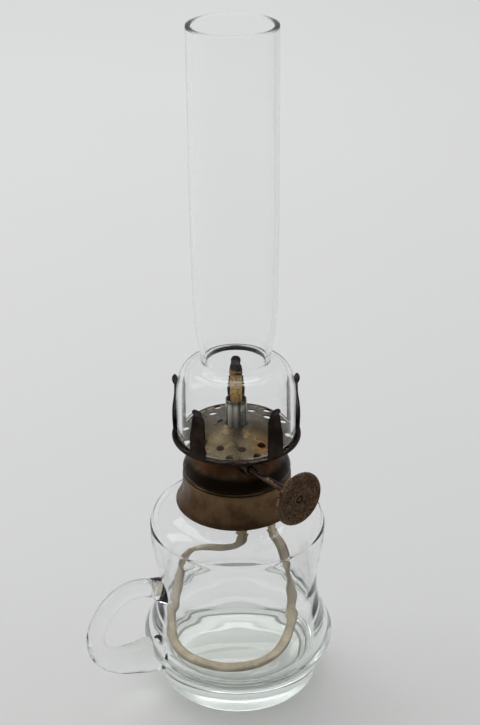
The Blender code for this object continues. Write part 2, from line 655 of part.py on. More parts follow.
def make_winder(dark_brass, knob_brass, axle):
    inner = -SHAFT_INNER_END
    shaft = rod("winder_shaft", SHAFT_RADIUS, SHAFT_REACH - inner, dark_brass, 16, axle)
    shaft.location = (0.0, 0.0, inner)
    bore = circle_points(SHAFT_RADIUS + GAP, 16)
    for name, side in (("spur_wheel_inner", -1), ("spur_wheel_outer", 1)):
        wheel = ring_plate(name, tooth_points(SPUR_RADIUS, SPUR_TOOTH_DEPTH, SPUR_TEETH),
                           bore, SPUR_THICKNESS, dark_brass, axle)
        wheel.location = (0.0, 0.0, side * SPUR_SPACING / 2.0 - SPUR_THICKNESS / 2.0)
    knob = ring_plate("knob_disc", tooth_points(KNOB_RADIUS, KNOB_TOOTH_DEPTH, KNOB_TEETH),
                      bore, KNOB_THICKNESS, knob_brass, axle)
    knob.location = (0.0, 0.0, SHAFT_REACH - KNOB_THICKNESS + 0.0003)
    washer = ring_plate("knob_washer", circle_points(WASHER_RADIUS, 20), bore,
                        WASHER_THICKNESS, dark_brass, axle)
    washer.location = (0.0, 0.0, knob.location.z - GAP - WASHER_THICKNESS)


def ring_plate(name, outer, inner, thickness, material, parent=None):
    """A flat plate with a hole through it, from Z = 0 up."""
    plate = extruded(name, outer, thickness, material, parent)
    punch = extruded(name + "_bore", inner, 3.0 * thickness, None, plate)
    punch.location = (0.0, 0.0, -thickness)
    cut(plate, cutter(punch))
    return plate


def make_bracket(dark_brass):
    """A U of sheet that clasps the wick tube and carries the shaft on both sides of the spurs."""
    inside = TUBE_RADIUS_OUT + GAP
    outside = inside + BRACKET_SHEET
    tip = -SHAFT_OFFSET - SHAFT_RADIUS - 0.0016
    outline = [(tip, inside), (inside, inside), (inside, -inside), (tip, -inside),
               (tip, -outside), (outside, -outside), (outside, outside), (tip, outside)]
    bracket = extruded("raiser_bracket", outline, BRACKET_HEIGHT, dark_brass)
    turn = Matrix((SHAFT_SIDE, -SHAFT_DIRECTION, Vector((0.0, 0.0, 1.0)))).transposed()
    bracket.matrix_world = (Matrix.Translation((0.0, 0.0, SHAFT_Z - BRACKET_HEIGHT / 2.0))
                            @ turn.to_4x4())
    hole = cutter(rod("bracket_hole", SHAFT_RADIUS + RUNNING_GAP, 4.0 * outside))
    hole.matrix_world = shaft_frame(-2.0 * outside)
    cut(bracket, hole)


def drum_radius_at(height):
    """The drum's outer radius at a height."""
    outer = drum_outer()
    for (r0, z0), (r1, z1) in zip(outer, outer[1:]):
        if z0 <= height <= z1:
            return r0 + (r1 - r0) * (height - z0) / (z1 - z0)
    return outer[-1][0]


def make_bush(dark_brass):
    wall = drum_radius_at(SHAFT_Z)
    exit_at = math.sqrt(max(wall ** 2 - SHAFT_OFFSET ** 2, 0.0))
    bush = ring_plate("shaft_bush", circle_points(BUSH_RADIUS, 20),
                      circle_points(SHAFT_RADIUS + RUNNING_GAP, 16), BUSH_LENGTH, dark_brass)
    bush.matrix_world = shaft_frame(exit_at - 0.55 * BUSH_LENGTH)


# Chimney

def make_chimney(glass):
    foot = CHIMNEY_FOOT_Z
    top = foot + CHIMNEY_HEIGHT
    crimp = foot + CRIMP_HEIGHT
    straight = foot + BULB_HEIGHT
    dome = crimp - straight
    width = BULB_RADIUS - CRIMP_RADIUS
    outer = [
        (BULB_RADIUS, foot + 0.0009),
        (BULB_RADIUS, foot + 0.6 * BULB_HEIGHT),
        (BULB_RADIUS, straight),
        (BULB_RADIUS - 0.026 * width, straight + 0.32 * dome),
        (BULB_RADIUS - 0.10 * width, straight + 0.56 * dome),
        (BULB_RADIUS - 0.22 * width, straight + 0.74 * dome),
        (BULB_RADIUS - 0.39 * width, straight + 0.87 * dome),
        (BULB_RADIUS - 0.60 * width, straight + 0.945 * dome),
        (BULB_RADIUS - 0.82 * width, straight + 0.980 * dome),
        (CRIMP_RADIUS + 0.0003, crimp - 0.0001),
        (CRIMP_RADIUS, crimp + 0.0004),
        (CRIMP_RADIUS + 0.06 * CRIMP_INSET, crimp + 0.0020),
        (CRIMP_RADIUS + 0.30 * CRIMP_INSET, crimp + 0.0070),
        (CRIMP_RADIUS + 0.60 * CRIMP_INSET, crimp + 0.0135),
        (CRIMP_RADIUS + 0.80 * CRIMP_INSET, crimp + 0.0220),
        (TUBE_RADIUS - 0.0003, crimp + 0.0340),
        (TUBE_RADIUS, crimp + 0.0600),
        (TUBE_RADIUS, top - 0.0009),
    ]
    half = CHIMNEY_WALL / 2.0
    inner = offset_outline(outer, CHIMNEY_WALL)
    inner[0] = (BULB_RADIUS - CHIMNEY_WALL, outer[0][1])
    rim = arc(TUBE_RADIUS - half, top - half, half, 30.0, 150.0, 3)
    lip = arc(BULB_RADIUS - half, foot + half, half, 210.0, 330.0, 3)
    turned("glass_chimney", outer + rim + list(reversed(inner)) + lip, glass)


def carrier_at(name, matrix):
    """An empty on a joint's axis, which carries the pieces that move with it."""
    item = bpy.data.objects.new(name, None)
    bpy.context.collection.objects.link(item)
    item.matrix_world = matrix
    return item


def main():
    clear_scene()
    glass = make_material("clear_glass", (0.93, 0.97, 0.95), 0.03, 0.0, 1.0)
    brass = make_material("aged_brass", (0.33, 0.22, 0.12), 0.38, 1.0)
    dark_brass = make_material("dark_brass", (0.13, 0.09, 0.07), 0.45, 1.0)
    knob_brass = make_material("knob_brass", (0.22, 0.15, 0.09), 0.50, 1.0)
    tarnish = make_material("tarnished_plate", (0.42, 0.37, 0.24), 0.35, 1.0)
    tinned = make_material("tinned_tube", (0.62, 0.62, 0.60), 0.25, 1.0)
    plaster = make_material("plaster", (0.80, 0.78, 0.72), 0.90)
    cotton = make_material("wick_cotton", (0.74, 0.62, 0.42), 0.95)
    axle = carrier_at("winder_axis", shaft_frame(0.0))
    make_font(glass)
    make_handle(glass)
    make_collar(brass, plaster)
    make_base(brass)
    make_drum(brass)
    make_gallery(dark_brass, tarnish)
    make_prongs(dark_brass)
    make_tube(tinned)
    make_bracket(dark_brass)
    make_bush(dark_brass)
    make_wick(cotton)
    make_winder(dark_brass, knob_brass, axle)
    make_chimney(glass)


main()
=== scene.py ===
"""A small kerosene hand lamp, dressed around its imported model.

A clear glass font with a drawn handle, a browned brass burner with five springs, a cotton wick
and a clear chimney. Lengths are in metres. The lamp's axis is Z and its foot stands on Z = 0.
"""

import json
import math

import bmesh
import bpy
from mathutils import Matrix, Vector


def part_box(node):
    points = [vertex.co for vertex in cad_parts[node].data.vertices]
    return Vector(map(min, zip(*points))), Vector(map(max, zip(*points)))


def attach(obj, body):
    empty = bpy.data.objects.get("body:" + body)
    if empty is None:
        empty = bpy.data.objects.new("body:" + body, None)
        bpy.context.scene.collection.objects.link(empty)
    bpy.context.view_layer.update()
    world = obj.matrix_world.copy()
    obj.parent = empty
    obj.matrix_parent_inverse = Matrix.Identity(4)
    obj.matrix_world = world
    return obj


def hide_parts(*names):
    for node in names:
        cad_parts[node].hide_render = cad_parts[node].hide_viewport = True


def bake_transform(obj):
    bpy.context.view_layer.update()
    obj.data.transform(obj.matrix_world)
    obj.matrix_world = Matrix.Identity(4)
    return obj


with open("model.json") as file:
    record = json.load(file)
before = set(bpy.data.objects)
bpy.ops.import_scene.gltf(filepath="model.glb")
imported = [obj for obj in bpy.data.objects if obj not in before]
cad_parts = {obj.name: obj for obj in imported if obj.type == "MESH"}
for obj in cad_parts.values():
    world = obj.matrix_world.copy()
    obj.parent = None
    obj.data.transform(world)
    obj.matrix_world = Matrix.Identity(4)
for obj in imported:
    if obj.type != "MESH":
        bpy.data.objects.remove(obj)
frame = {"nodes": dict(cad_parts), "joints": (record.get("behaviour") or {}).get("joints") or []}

bl_info = {
    "name": "Kerosene hand lamp",
    "version": (1, 0, 0),
    "blender": (4, 5, 0),
    "location": "View3D > Sidebar > Lamp",
    "description": "Builds a glass hand lamp with its burner, wick and chimney on the packed frame",
    "category": "Add Mesh",
}

TAU = 2.0 * math.pi
JOINTS = {joint["name"]: joint for joint in frame["joints"]}
SHAFT_POINT = Vector(JOINTS["knob_turn"]["pos_m"])
SHAFT_DIRECTION = Vector(JOINTS["knob_turn"]["axis"]).normalized()

# The loose wick's route through the font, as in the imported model
TAIL_POINTS = [
    (0.0010, -0.0005, 0.0796), (0.0020, -0.0025, 0.0740), (0.0025, -0.0048, 0.0688),
    (0.0000, -0.0060, 0.0648), (-0.0055, -0.0055, 0.0628), (-0.0115, -0.0030, 0.0612),
    (-0.0170, 0.0015, 0.0572), (-0.0212, 0.0065, 0.0508), (-0.0240, 0.0100, 0.0425),
    (-0.0258, 0.0075, 0.0330), (-0.0280, 0.0015, 0.0245), (-0.0278, -0.0065, 0.0182),
    (-0.0232, -0.0135, 0.0150), (-0.0156, -0.0190, 0.0143), (-0.0062, -0.0222, 0.0142),
    (0.0035, -0.0215, 0.0142), (0.0118, -0.0175, 0.0142), (0.0178, -0.0100, 0.0146),
    (0.0212, -0.0010, 0.0158), (0.0228, 0.0085, 0.0204), (0.0228, 0.0140, 0.0285),
    (0.0212, 0.0162, 0.0375), (0.0190, 0.0162, 0.0462), (0.0160, 0.0150, 0.0535),
    (0.0128, 0.0128, 0.0600), (0.0100, 0.0105, 0.0655),
]
# Steps from one point of the route to the next, and the point where it turns up to its free end
TAIL_STEPS = 10
TAIL_RISES = 20


# Sizes and colours

def number(name, description, default, **limits):
    return bpy.props.FloatProperty(name=name, description=description, default=default, **limits)


def length(name, description, default):
    return number(name, description, default, min=0.0, precision=5, unit="LENGTH")


def degrees(name, description, default):
    return number(name, description, math.radians(default), subtype="ANGLE")


def colour(name, description, default):
    return bpy.props.FloatVectorProperty(name=name, description=description, default=default,
                                         min=0.0, max=1.0, size=3, subtype="COLOR")


class LampSizes(bpy.types.PropertyGroup):
    """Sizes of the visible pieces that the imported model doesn't give by itself."""
    spin_steps: bpy.props.IntProperty(name="Steps round", default=128, min=24, max=256,
                                      description="Faces round each turned piece")
    font_wall: length("Font wall", "Thickness of the font's glass", 0.0022)
    font_floor: length("Font floor", "Height of the font's inside floor", 0.0125)
    foot_hollow: length("Foot hollow", "How far the foot is pushed up in its middle", 0.0016)
    chimney_wall: length("Chimney wall", "Thickness of the chimney's glass", 0.0018)
    brass_sheet: length("Brass sheet", "Thickness of the burner's sheet", 0.0005)
    collar_sheet: length("Collar sheet", "Thickness of the collar's sheet", 0.0006)
    hole_radius: length("Air hole", "Radius of the plate's air holes", 0.0016)
    wick_width: length("Wick width", "Width of the standing wick", 0.0054)
    wick_thickness: length("Wick thickness", "Thickness of the standing wick", 0.0030)
    tail_width: length("Loose wick width", "Width of the loose wick", 0.0046)
    tail_thickness: length("Loose wick thickness", "Thickness of the loose wick", 0.0018)


class LampColours(bpy.types.PropertyGroup):
    """Colours of the finishes."""
    glass: colour("Glass", "Tint of the clear glass", (0.995, 1.0, 0.996))
    glass_shade: colour("Glass shade", "Light that one wall lets through to the floor",
                        (0.86, 0.87, 0.86))
    glass_depth: colour("Glass depth", "Tint that thick glass takes on", (0.55, 0.80, 0.62))
    brass: colour("Brass", "Browned brass where it is rubbed", (0.125, 0.078, 0.039))
    brass_dark: colour("Brass patina", "Browned brass in its hollows", (0.048, 0.026, 0.012))
    iron: colour("Spring", "Nearly black spring sheet", (0.034, 0.022, 0.016))
    plate: colour("Plate", "Tarnished plate", (0.048, 0.034, 0.015))
    rust: colour("Rust", "Rusty patches", (0.085, 0.040, 0.012))
    tin: colour("Tin", "Tinned wick tube", (0.560, 0.545, 0.480))
    cotton: colour("Cotton", "Clean wick cotton", (0.970, 0.835, 0.580))
    oiled: colour("Oiled cotton", "Wick cotton stained by oil", (0.640, 0.390, 0.110))
    char: colour("Char", "Burnt wick", (0.022, 0.019, 0.017))
    floor: colour("Floor", "Pale studio floor", (0.600, 0.600, 0.592))


class StageSettings(bpy.types.PropertyGroup):
    """The studio round the lamp."""
    lens: number("Lens", "Focal length in millimetres", 76.31, min=10.0, max=300.0)
    distance: length("Camera distance", "How far in front of the axis the camera stands", 0.51798)
    height: length("Camera height", "How high the camera stands", 0.4089)
    pitch: degrees("Pitch", "How far the camera looks down", 27.218)
    yaw: degrees("Yaw", "How far the camera looks to the right", 0.1785)
    roll: degrees("Roll", "How far the camera leans", -0.4837)
    key_power: number("Key light", "Power of the overhead light", 26.0, min=0.0, unit="POWER")
    ambient: number("Ambient", "Strength of the room's light", 0.70, min=0.0)


# Helpers for shapes

def box_low(node):
    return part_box(node)[0]


def box_high(node):
    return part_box(node)[1]


def span_along(node, origin, direction):
    """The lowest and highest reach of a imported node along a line."""
    reach = [(vert.co - origin).dot(direction) for vert in frame["nodes"][node].data.vertices]
    return min(reach), max(reach)


def smooth_through(points, per_span):
    """Points of a Catmull-Rom curve through the given ones."""
    given = [Vector(p) for p in points]
    ends = [2.0 * given[0] - given[1]] + given + [2.0 * given[-1] - given[-2]]
    result = []
    for index in range(len(given) - 1):
        a, b, c, d = ends[index:index + 4]
        for step in range(per_span):
            t = step / per_span
            result.append(0.5 * (2.0 * b + (c - a) * t + (2.0 * a - 5.0 * b + 4.0 * c - d) * t * t
                                 + (3.0 * b - a - 3.0 * c + d) * t ** 3))
    result.append(given[-1])
    return result


def arc(centre_r, centre_z, radius, start, end, steps):
    """Points of an arc in the (radius, height) plane, angles in degrees."""
    points = []
    for step in range(steps + 1):
        angle = math.radians(start + (end - start) * step / steps)
        points.append(Vector((centre_r + radius * math.cos(angle),
                              centre_z + radius * math.sin(angle))))
    return points


def offset_line(outline, distance):
    """The outline moved sideways, to the left of its direction for a positive distance."""
    moved = []
    for index, point in enumerate(outline):
        before = Vector(outline[max(index - 1, 0)])
        after = Vector(outline[min(index + 1, len(outline) - 1)])
        along = (after - before).normalized()
        moved.append(Vector((point[0] - along.y * distance, point[1] + along.x * distance)))
    return moved


def shaft_matrix(along=0.0):
    """Lays local Z along the winder's shaft."""
    side = Vector((0.0, 0.0, 1.0)).cross(SHAFT_DIRECTION)
    rows = Matrix((side, Vector((0.0, 0.0, 1.0)), SHAFT_DIRECTION)).transposed()
    return Matrix.Translation(SHAFT_POINT + along * SHAFT_DIRECTION) @ rows.to_4x4()


def turned_on_shaft(outline, steps, closed):
    """A bmesh turned about the winder's shaft."""
    bm = spun_mesh(outline, steps, closed)
    bmesh.ops.transform(bm, matrix=shaft_matrix(), verts=bm.verts)
    return bm


def spun_mesh(outline, steps, closed):
    """A bmesh turned about Z from an outline of (radius, height) points."""
    bm = bmesh.new()
    verts = [bm.verts.new((p[0], 0.0, p[1])) for p in outline]
    edges = [bm.edges.new(pair) for pair in zip(verts, verts[1:])]
    if closed:
        edges.append(bm.edges.new((verts[-1], verts[0])))
    bmesh.ops.spin(bm, geom=verts + edges, cent=(0.0, 0.0, 0.0), axis=(0.0, 0.0, 1.0),
                   angle=TAU, steps=steps, use_merge=True)
    bmesh.ops.remove_doubles(bm, verts=bm.verts, dist=1e-6)
    bmesh.ops.recalc_face_normals(bm, faces=bm.faces)
    return bm


def add_rod(bm, radius, depth, sides, matrix):
    bmesh.ops.create_cone(bm, cap_ends=True, segments=sides, radius1=radius, radius2=radius,
                          depth=depth, matrix=matrix)


def swept_mesh(sides, stations):
    """A bmesh swept along stations, each a matrix that lays a unit circle at its place."""
    bm = bmesh.new()
    made = bmesh.ops.create_circle(bm, cap_ends=True, segments=sides, radius=1.0,
                                   matrix=stations[0])
    edges = list({edge for vert in made["verts"] for edge in vert.link_edges})
    for before, after in zip(stations, stations[1:]):
        grown = bmesh.ops.extrude_edge_only(bm, edges=edges)["geom"]
        verts = [item for item in grown if isinstance(item, bmesh.types.BMVert)]
        edges = [item for item in grown if isinstance(item, bmesh.types.BMEdge)]
        bmesh.ops.transform(bm, matrix=after @ before.inverted(), verts=verts)
    bmesh.ops.contextual_create(bm, geom=edges)
    bmesh.ops.recalc_face_normals(bm, faces=bm.faces)
    return bm


def add_object(name, data):
    item = bpy.data.objects.new(name, data)
    bpy.context.scene.collection.objects.link(item)
    return item


def reshade(item, sharp_angle):
    item.data.shade_smooth()
    item.data.set_sharp_from_angle(angle=math.radians(sharp_angle))


def piece(name, bm, material=None, sharp_angle=35.0):
    """Puts a bmesh in the scene as a smooth-shaded object at the origin."""
    mesh = bpy.data.meshes.new(name)
    bm.to_mesh(mesh)
    bm.free()
    item = add_object(name, mesh)
    reshade(item, sharp_angle)
    if material:
        mesh.materials.append(material)
    return item


def finished_mesh(item):
    """A new mesh of an object as its modifiers or its curve's settings make it."""
    graph = bpy.context.evaluated_depsgraph_get()
    return bpy.data.meshes.new_from_object(item.evaluated_get(graph))


def combine(item, tool, operation):
    """Joins or cuts a piece with a tool, which is used up."""
    modifier = item.modifiers.new(tool.name, "BOOLEAN")
    modifier.operation = operation
    modifier.solver = "EXACT"
    modifier.object = tool
    mesh = finished_mesh(item)
    item.modifiers.clear()
    item.data = mesh
    bpy.data.objects.remove(tool, do_unlink=True)


# Helpers for materials

def add_node(tree, kind, **values):
    node = tree.nodes.new("ShaderNode" + kind)
    for name, value in values.items():
        setattr(node, name, value)
    return node


def put(tree, socket, value):
    """Wires an output to an input, or sets the input to a plain value."""
    if isinstance(value, bpy.types.NodeSocket):
        tree.links.new(value, socket)
    elif value is not None:
        socket.default_value = (*value, 1.0) if socket.type == "RGBA" else value


def feed(tree, node, **values):
    """Fills a node's inputs by name, with _ for a space, and hands the node back."""
    for name, value in values.items():
        put(tree, node.inputs[name.replace("_", " ")], value)
    return node


def math_node(tree, operation, first, second=None):
    node = add_node(tree, "Math", operation=operation)
    for socket, value in zip(node.inputs, (first, second)):
        put(tree, socket, value)
    return node.outputs[0]


def ranged(tree, value, low, high, to_low=0.0, to_high=1.0):
    """The value mapped smoothly from one range to another."""
    node = add_node(tree, "MapRange", interpolation_type="SMOOTHSTEP")
    feed(tree, node, Value=value, From_Min=low, From_Max=high, To_Min=to_low, To_Max=to_high)
    return node.outputs["Result"]


def mixed(tree, factor, first, second):
    """A colour between two others."""
    node = add_node(tree, "Mix", data_type="RGBA")
    for index, value in ((0, factor), (6, first), (7, second)):
        put(tree, node.inputs[index], value)
    return node.outputs[2]


def noise(tree, vector, scale, detail=4.0, roughness=0.55):
    node = add_node(tree, "TexNoise")
    feed(tree, node, Vector=vector, Scale=scale, Detail=detail, Roughness=roughness)
    return node.outputs[0]


def stretched(tree, vector, scale, rotation=(0.0, 0.0, 0.0), location=(0.0, 0.0, 0.0)):
    node = add_node(tree, "Mapping")
    feed(tree, node, Vector=vector, Scale=scale, Rotation=rotation, Location=location)
    return node.outputs[0]


def object_place(tree):
    return add_node(tree, "TexCoord").outputs["Object"]


def along_axis(tree, vector, axis):
    """One axis of a vector."""
    node = add_node(tree, "SeparateXYZ")
    put(tree, node.inputs[0], vector)
    return node.outputs[axis]


def height_above(tree):
    return along_axis(tree, object_place(tree), "Z")


def new_group(name, inputs, outputs):
    """An empty shader node group with its inputs and its exit node."""
    tree = bpy.data.node_groups.new(name, "ShaderNodeTree")
    for label, kind, default in inputs:
        socket = tree.interface.new_socket(label, in_out="INPUT", socket_type="NodeSocket" + kind)
        if default is not None:
            socket.default_value = default
    for label, kind in outputs:
        tree.interface.new_socket(label, in_out="OUTPUT", socket_type="NodeSocket" + kind)
    return tree, tree.nodes.new("NodeGroupInput").outputs, tree.nodes.new("NodeGroupOutput")


def use_group(tree, name, **values):
    node = add_node(tree, "Group", node_tree=bpy.data.node_groups[name])
    return feed(tree, node, **values).outputs


def new_material(name):
    material = bpy.data.materials.new(name)
    material.use_nodes = True
    tree = material.node_tree
    return material, tree, tree.nodes["Principled BSDF"]


def bump(tree, height, strength, distance, shader):
    node = feed(tree, add_node(tree, "Bump"), Strength=strength, Distance=distance, Height=height)
    feed(tree, shader, Normal=node.outputs["Normal"])


# Shared effects

def build_aged_metal():
    """Cloudy patina, dark spots, turning marks and uneven gloss on old sheet metal."""
    tree, entry, leave = new_group(
        "aged_metal",
        [("Bright", "Color", None), ("Dark", "Color", None), ("Spot", "Color", None),
         ("Cloud Scale", "Float", 160.0), ("Cloud Low", "Float", 0.38),
         ("Cloud High", "Float", 0.66), ("Spot Level", "Float", 0.66),
         ("Smooth", "Float", 0.30), ("Rough", "Float", 0.50)],
        [("Colour", "Color"), ("Roughness", "Float"), ("Height", "Float")])
    place = object_place(tree)
    cloud = noise(tree, place, entry["Cloud Scale"], 6.0, 0.62)
    share = ranged(tree, cloud, entry["Cloud Low"], entry["Cloud High"])
    body = mixed(tree, share, entry["Dark"], entry["Bright"])
    grain = noise(tree, place, 1500.0, 3.0)
    shade = mixed(tree, math_node(tree, "MULTIPLY", grain, 0.35), body, entry["Dark"])
    edge = math_node(tree, "ADD", entry["Spot Level"], 0.05)
    spots = ranged(tree, noise(tree, place, 620.0, 5.0, 0.6), entry["Spot Level"], edge)
    gloss = noise(tree, place, 340.0, 5.0)
    turning = noise(tree, stretched(tree, place, (60.0, 60.0, 3800.0)), 1.0, 2.0)
    height = math_node(tree, "ADD", math_node(tree, "MULTIPLY", turning, 0.35),
                       math_node(tree, "MULTIPLY", grain, 0.40))
    feed(tree, leave, Colour=mixed(tree, spots, shade, entry["Spot"]),
         Roughness=ranged(tree, gloss, 0.35, 0.68, entry["Smooth"], entry["Rough"]),
         Height=math_node(tree, "SUBTRACT", height, math_node(tree, "MULTIPLY", spots, 0.5)))


def build_braid():
    """Crossing cotton strands. X runs across the band and Y along it, in metres."""
    tree, entry, leave = new_group(
        "braid",
        [("Place", "Vector", None), ("Across", "Float", 0.0011), ("Along", "Float", 0.0012)],
        [("Height", "Float")])
    across = math_node(tree, "DIVIDE", along_axis(tree, entry["Place"], "X"), entry["Across"])
    along = math_node(tree, "DIVIDE", along_axis(tree, entry["Place"], "Y"), entry["Along"])
    waves = []
    for operation in ("ADD", "SUBTRACT"):
        turn = math_node(tree, "MULTIPLY", math_node(tree, operation, along, across), TAU)
        waves.append(math_node(tree, "SINE", turn))
    rib = math_node(tree, "MULTIPLY", math_node(tree, "MAXIMUM", *waves), 0.5)
    fibre = noise(tree, stretched(tree, entry["Place"], (9000.0, 3200.0, 9000.0)), 1.0, 3.0)
    feed(tree, leave, Height=math_node(tree, "ADD", rib, fibre))


def build_glass_marks():
    """Faint waviness, smears and dust on old drawn glass."""
    tree, entry, leave = new_group(
        "glass_marks", [("Wave Scale", "Float", 45.0)],
        [("Roughness", "Float"), ("Height", "Float")])
    place = object_place(tree)
    smear = noise(tree, stretched(tree, place, (90.0, 90.0, 26.0)), 1.0, 4.0)
    dust = noise(tree, place, 2400.0, 2.0)
    haze = math_node(tree, "ADD", ranged(tree, smear, 0.50, 0.75, 0.0, 0.022),
                     ranged(tree, dust, 0.70, 0.78, 0.0, 0.10))
    feed(tree, leave, Roughness=haze, Height=noise(tree, place, entry["Wave Scale"], 1.0, 0.5))


# Finishes

def glass_material(name, index, absorb, wave_scale, wave_height, colours, ground, matt):
    """Clear glass that lets lamps light what it holds, ground matt at one height."""
    material, tree, shader = new_material(name)
    marks = use_group(tree, "glass_marks", Wave_Scale=wave_scale)
    away = math_node(tree, "ABSOLUTE", math_node(tree, "SUBTRACT", height_above(tree), ground))
    wear_and_braid_shade = ranged(tree, away, 0.0006, 0.0012, matt, 0.0)
    feed(tree, shader, Base_Color=colours.glass, Transmission_Weight=1.0, IOR=index,
         Roughness=math_node(tree, "MAXIMUM", marks["Roughness"], wear_and_braid_shade))
    bump(tree, marks["Height"], 1.0, wave_height, shader)
    through = feed(tree, add_node(tree, "BsdfTransparent"), Color=colours.glass_shade)
    choice = add_node(tree, "MixShader")
    lamp_ray = add_node(tree, "LightPath").outputs["Is Shadow Ray"]
    choices = (lamp_ray, shader.outputs[0], through.outputs[0])
    for socket, value in zip(choice.inputs, choices):
        put(tree, socket, value)
    depth = add_node(tree, "VolumeAbsorption")
    feed(tree, depth, Color=colours.glass_depth, Density=absorb)
    feed(tree, tree.nodes["Material Output"], Surface=choice.outputs[0], Volume=depth.outputs[0])
    return material


def aged_material(name, bright, dark, spot, cloud=160.0, levels=(0.38, 0.66), spots=0.66,
                  gloss=(0.30, 0.50), relief=0.00006):
    """Old metal. Gives back its colour too, for finishes that shade it further."""
    material, tree, shader = new_material(name)
    aged = use_group(tree, "aged_metal", Bright=bright, Dark=dark, Spot=spot, Cloud_Scale=cloud,
                     Cloud_Low=levels[0], Cloud_High=levels[1], Spot_Level=spots,
                     Smooth=gloss[0], Rough=gloss[1])
    feed(tree, shader, Metallic=1.0, Base_Color=aged["Colour"], Roughness=aged["Roughness"])
    bump(tree, aged["Height"], 0.6, relief, shader)
    return material, tree, shader, aged["Colour"]


def collar_material():
    """Brown brass, lighter towards its top edge and darker at its foot bead."""
    material, tree, shader, aged = aged_material(
        "collar_brass", (0.150, 0.094, 0.050), (0.078, 0.044, 0.022), (0.016, 0.009, 0.005),
        130.0, gloss=(0.34, 0.54))
    height = height_above(tree)
    foot, top = box_low("neck_collar").z, box_high("neck_collar").z
    low = ranged(tree, height, foot + 0.0004, foot + 0.0042, 0.55, 0.0)
    high = ranged(tree, height, top - 0.0052, top - 0.0008, 0.0, 0.45)
    shaded = mixed(tree, low, aged, (0.024, 0.012, 0.006))
    feed(tree, shader, Base_Color=mixed(tree, high, shaded, (0.165, 0.110, 0.054)))
    return material


def drum_material():
    """Brown brass with a reddish crown and a black band of painted shade round its lower wall."""
    material, tree, shader, aged = aged_material(
        "drum_brass", (0.098, 0.060, 0.034), (0.048, 0.028, 0.016), (0.010, 0.006, 0.004), 140.0,
        gloss=(0.36, 0.56))
    place = object_place(tree)
    wobble = math_node(tree, "MULTIPLY", noise(tree, place, 110.0, 3.0), 0.0016)
    height = math_node(tree, "ADD", height_above(tree), wobble)
    foot = box_low("burner_drum").z
    # Painted shade: black round the drum's lower wall, where it curves in under its bulge
    painted_shade_band = ranged(tree, height, foot + 0.0052, foot + 0.0078, 1.0, 0.0)
    shaded = mixed(tree, painted_shade_band, aged, (0.010, 0.006, 0.003))
    red = ranged(tree, height, foot + 0.0070, foot + 0.0100, 0.0, 0.75)
    patch = ranged(tree, noise(tree, place, 90.0, 3.0), 0.42, 0.60)
    share = math_node(tree, "MULTIPLY", red, patch)
    feed(tree, shader, Base_Color=mixed(tree, share, shaded, (0.090, 0.030, 0.009)))
    return material


def plate_material(colours):
    """Olive-brown tarnish with rusty patches, the largest one at the front right."""
    material, tree, shader, aged = aged_material(
        "plate_tarnish", colours.plate, (0.070, 0.052, 0.026), (0.018, 0.011, 0.005), 150.0,
        levels=(0.34, 0.64), spots=0.62, gloss=(0.26, 0.46))
    place = object_place(tree)
    moved = stretched(tree, place, (1.0, 1.0, 1.0), location=(0.31, 0.12, 0.0))
    rust = ranged(tree, noise(tree, moved, 85.0, 5.0, 0.6), 0.56, 0.68)
    near = add_node(tree, "VectorMath", operation="DISTANCE")
    for socket, value in zip(near.inputs, (place, (0.0125, -0.0135, 0.114))):
        put(tree, socket, value)
    patch = ranged(tree, near.outputs["Value"], 0.0035, 0.0085, 0.75, 0.0)
    mask = math_node(tree, "MAXIMUM", math_node(tree, "MULTIPLY", rust, 0.55), patch)
    feed(tree, shader, Base_Color=mixed(tree, mask, aged, colours.rust))
    return material


def iron_material(colours):
    return aged_material("spring_sheet", colours.iron, (0.014, 0.009, 0.007), (0.060, 0.024, 0.010),
                         210.0, spots=0.68, gloss=(0.34, 0.55))[0]


def tube_material(colours):
    """Tinned sheet with vertical streaks, darker and smoked at its mouth."""
    material, tree, shader = new_material("tube_tin")
    streak = noise(tree, stretched(tree, object_place(tree), (620.0, 620.0, 30.0)), 1.0, 3.0)
    body = mixed(tree, ranged(tree, streak, 0.36, 0.60), (0.230, 0.215, 0.175), colours.tin)
    top = box_high("wick_tube").z
    smoke = ranged(tree, height_above(tree), top - 0.0026, top - 0.0004, 0.0, 0.85)
    feed(tree, shader, Metallic=1.0, Base_Color=mixed(tree, smoke, body, (0.030, 0.022, 0.016)),
         Roughness=ranged(tree, streak, 0.35, 0.65, 0.16, 0.34))
    bump(tree, streak, 0.4, 0.00002, shader)
    return material


def knob_material():
    """Browned brass stamped with a coarse pebble pattern."""
    material, tree, shader, aged = aged_material(
        "knob_brass", (0.200, 0.128, 0.074), (0.092, 0.056, 0.032), (0.020, 0.012, 0.007), 260.0,
        gloss=(0.36, 0.58))
    pebble = add_node(tree, "TexVoronoi", feature="F1")
    feed(tree, pebble, Vector=object_place(tree), Scale=1500.0)
    dome = ranged(tree, pebble.outputs["Distance"], 0.25, 0.85, 1.0, 0.0)
    feed(tree, shader, Base_Color=mixed(tree, dome, (0.040, 0.023, 0.013), aged))
    bump(tree, dome, 0.6, 0.00010, shader)
    return material


def cotton_material(name, place_of, sheen, stain, clean):
    """Braided cotton, with painted shade down in the braid's valleys. The place function gives X
    across the band and Y along it.
    """
    material, tree, shader = new_material(name)
    braid = use_group(tree, "braid", Place=place_of(tree))["Height"]
    blot = noise(tree, object_place(tree), 240.0, 4.0)
    tint = mixed(tree, ranged(tree, blot, 0.36, 0.66), stain, clean)
    # Painted shade: the cotton is darker down in the valleys between the braid's strands
    wear_and_braid_shade = ranged(tree, braid, 0.10, 0.95, 0.30, 0.0)
    feed(tree, shader, Roughness=0.95, Specular_IOR_Level=0.2, Sheen_Weight=sheen,
         Sheen_Roughness=0.5)
    bump(tree, braid, 1.0, 0.00040, shader)
    # Gives back the cotton's colour with the painted shade in the braid's valleys mixed in
    return material, tree, shader, mixed(tree, wear_and_braid_shade, tint, tuple(0.35 * part for part in stain))


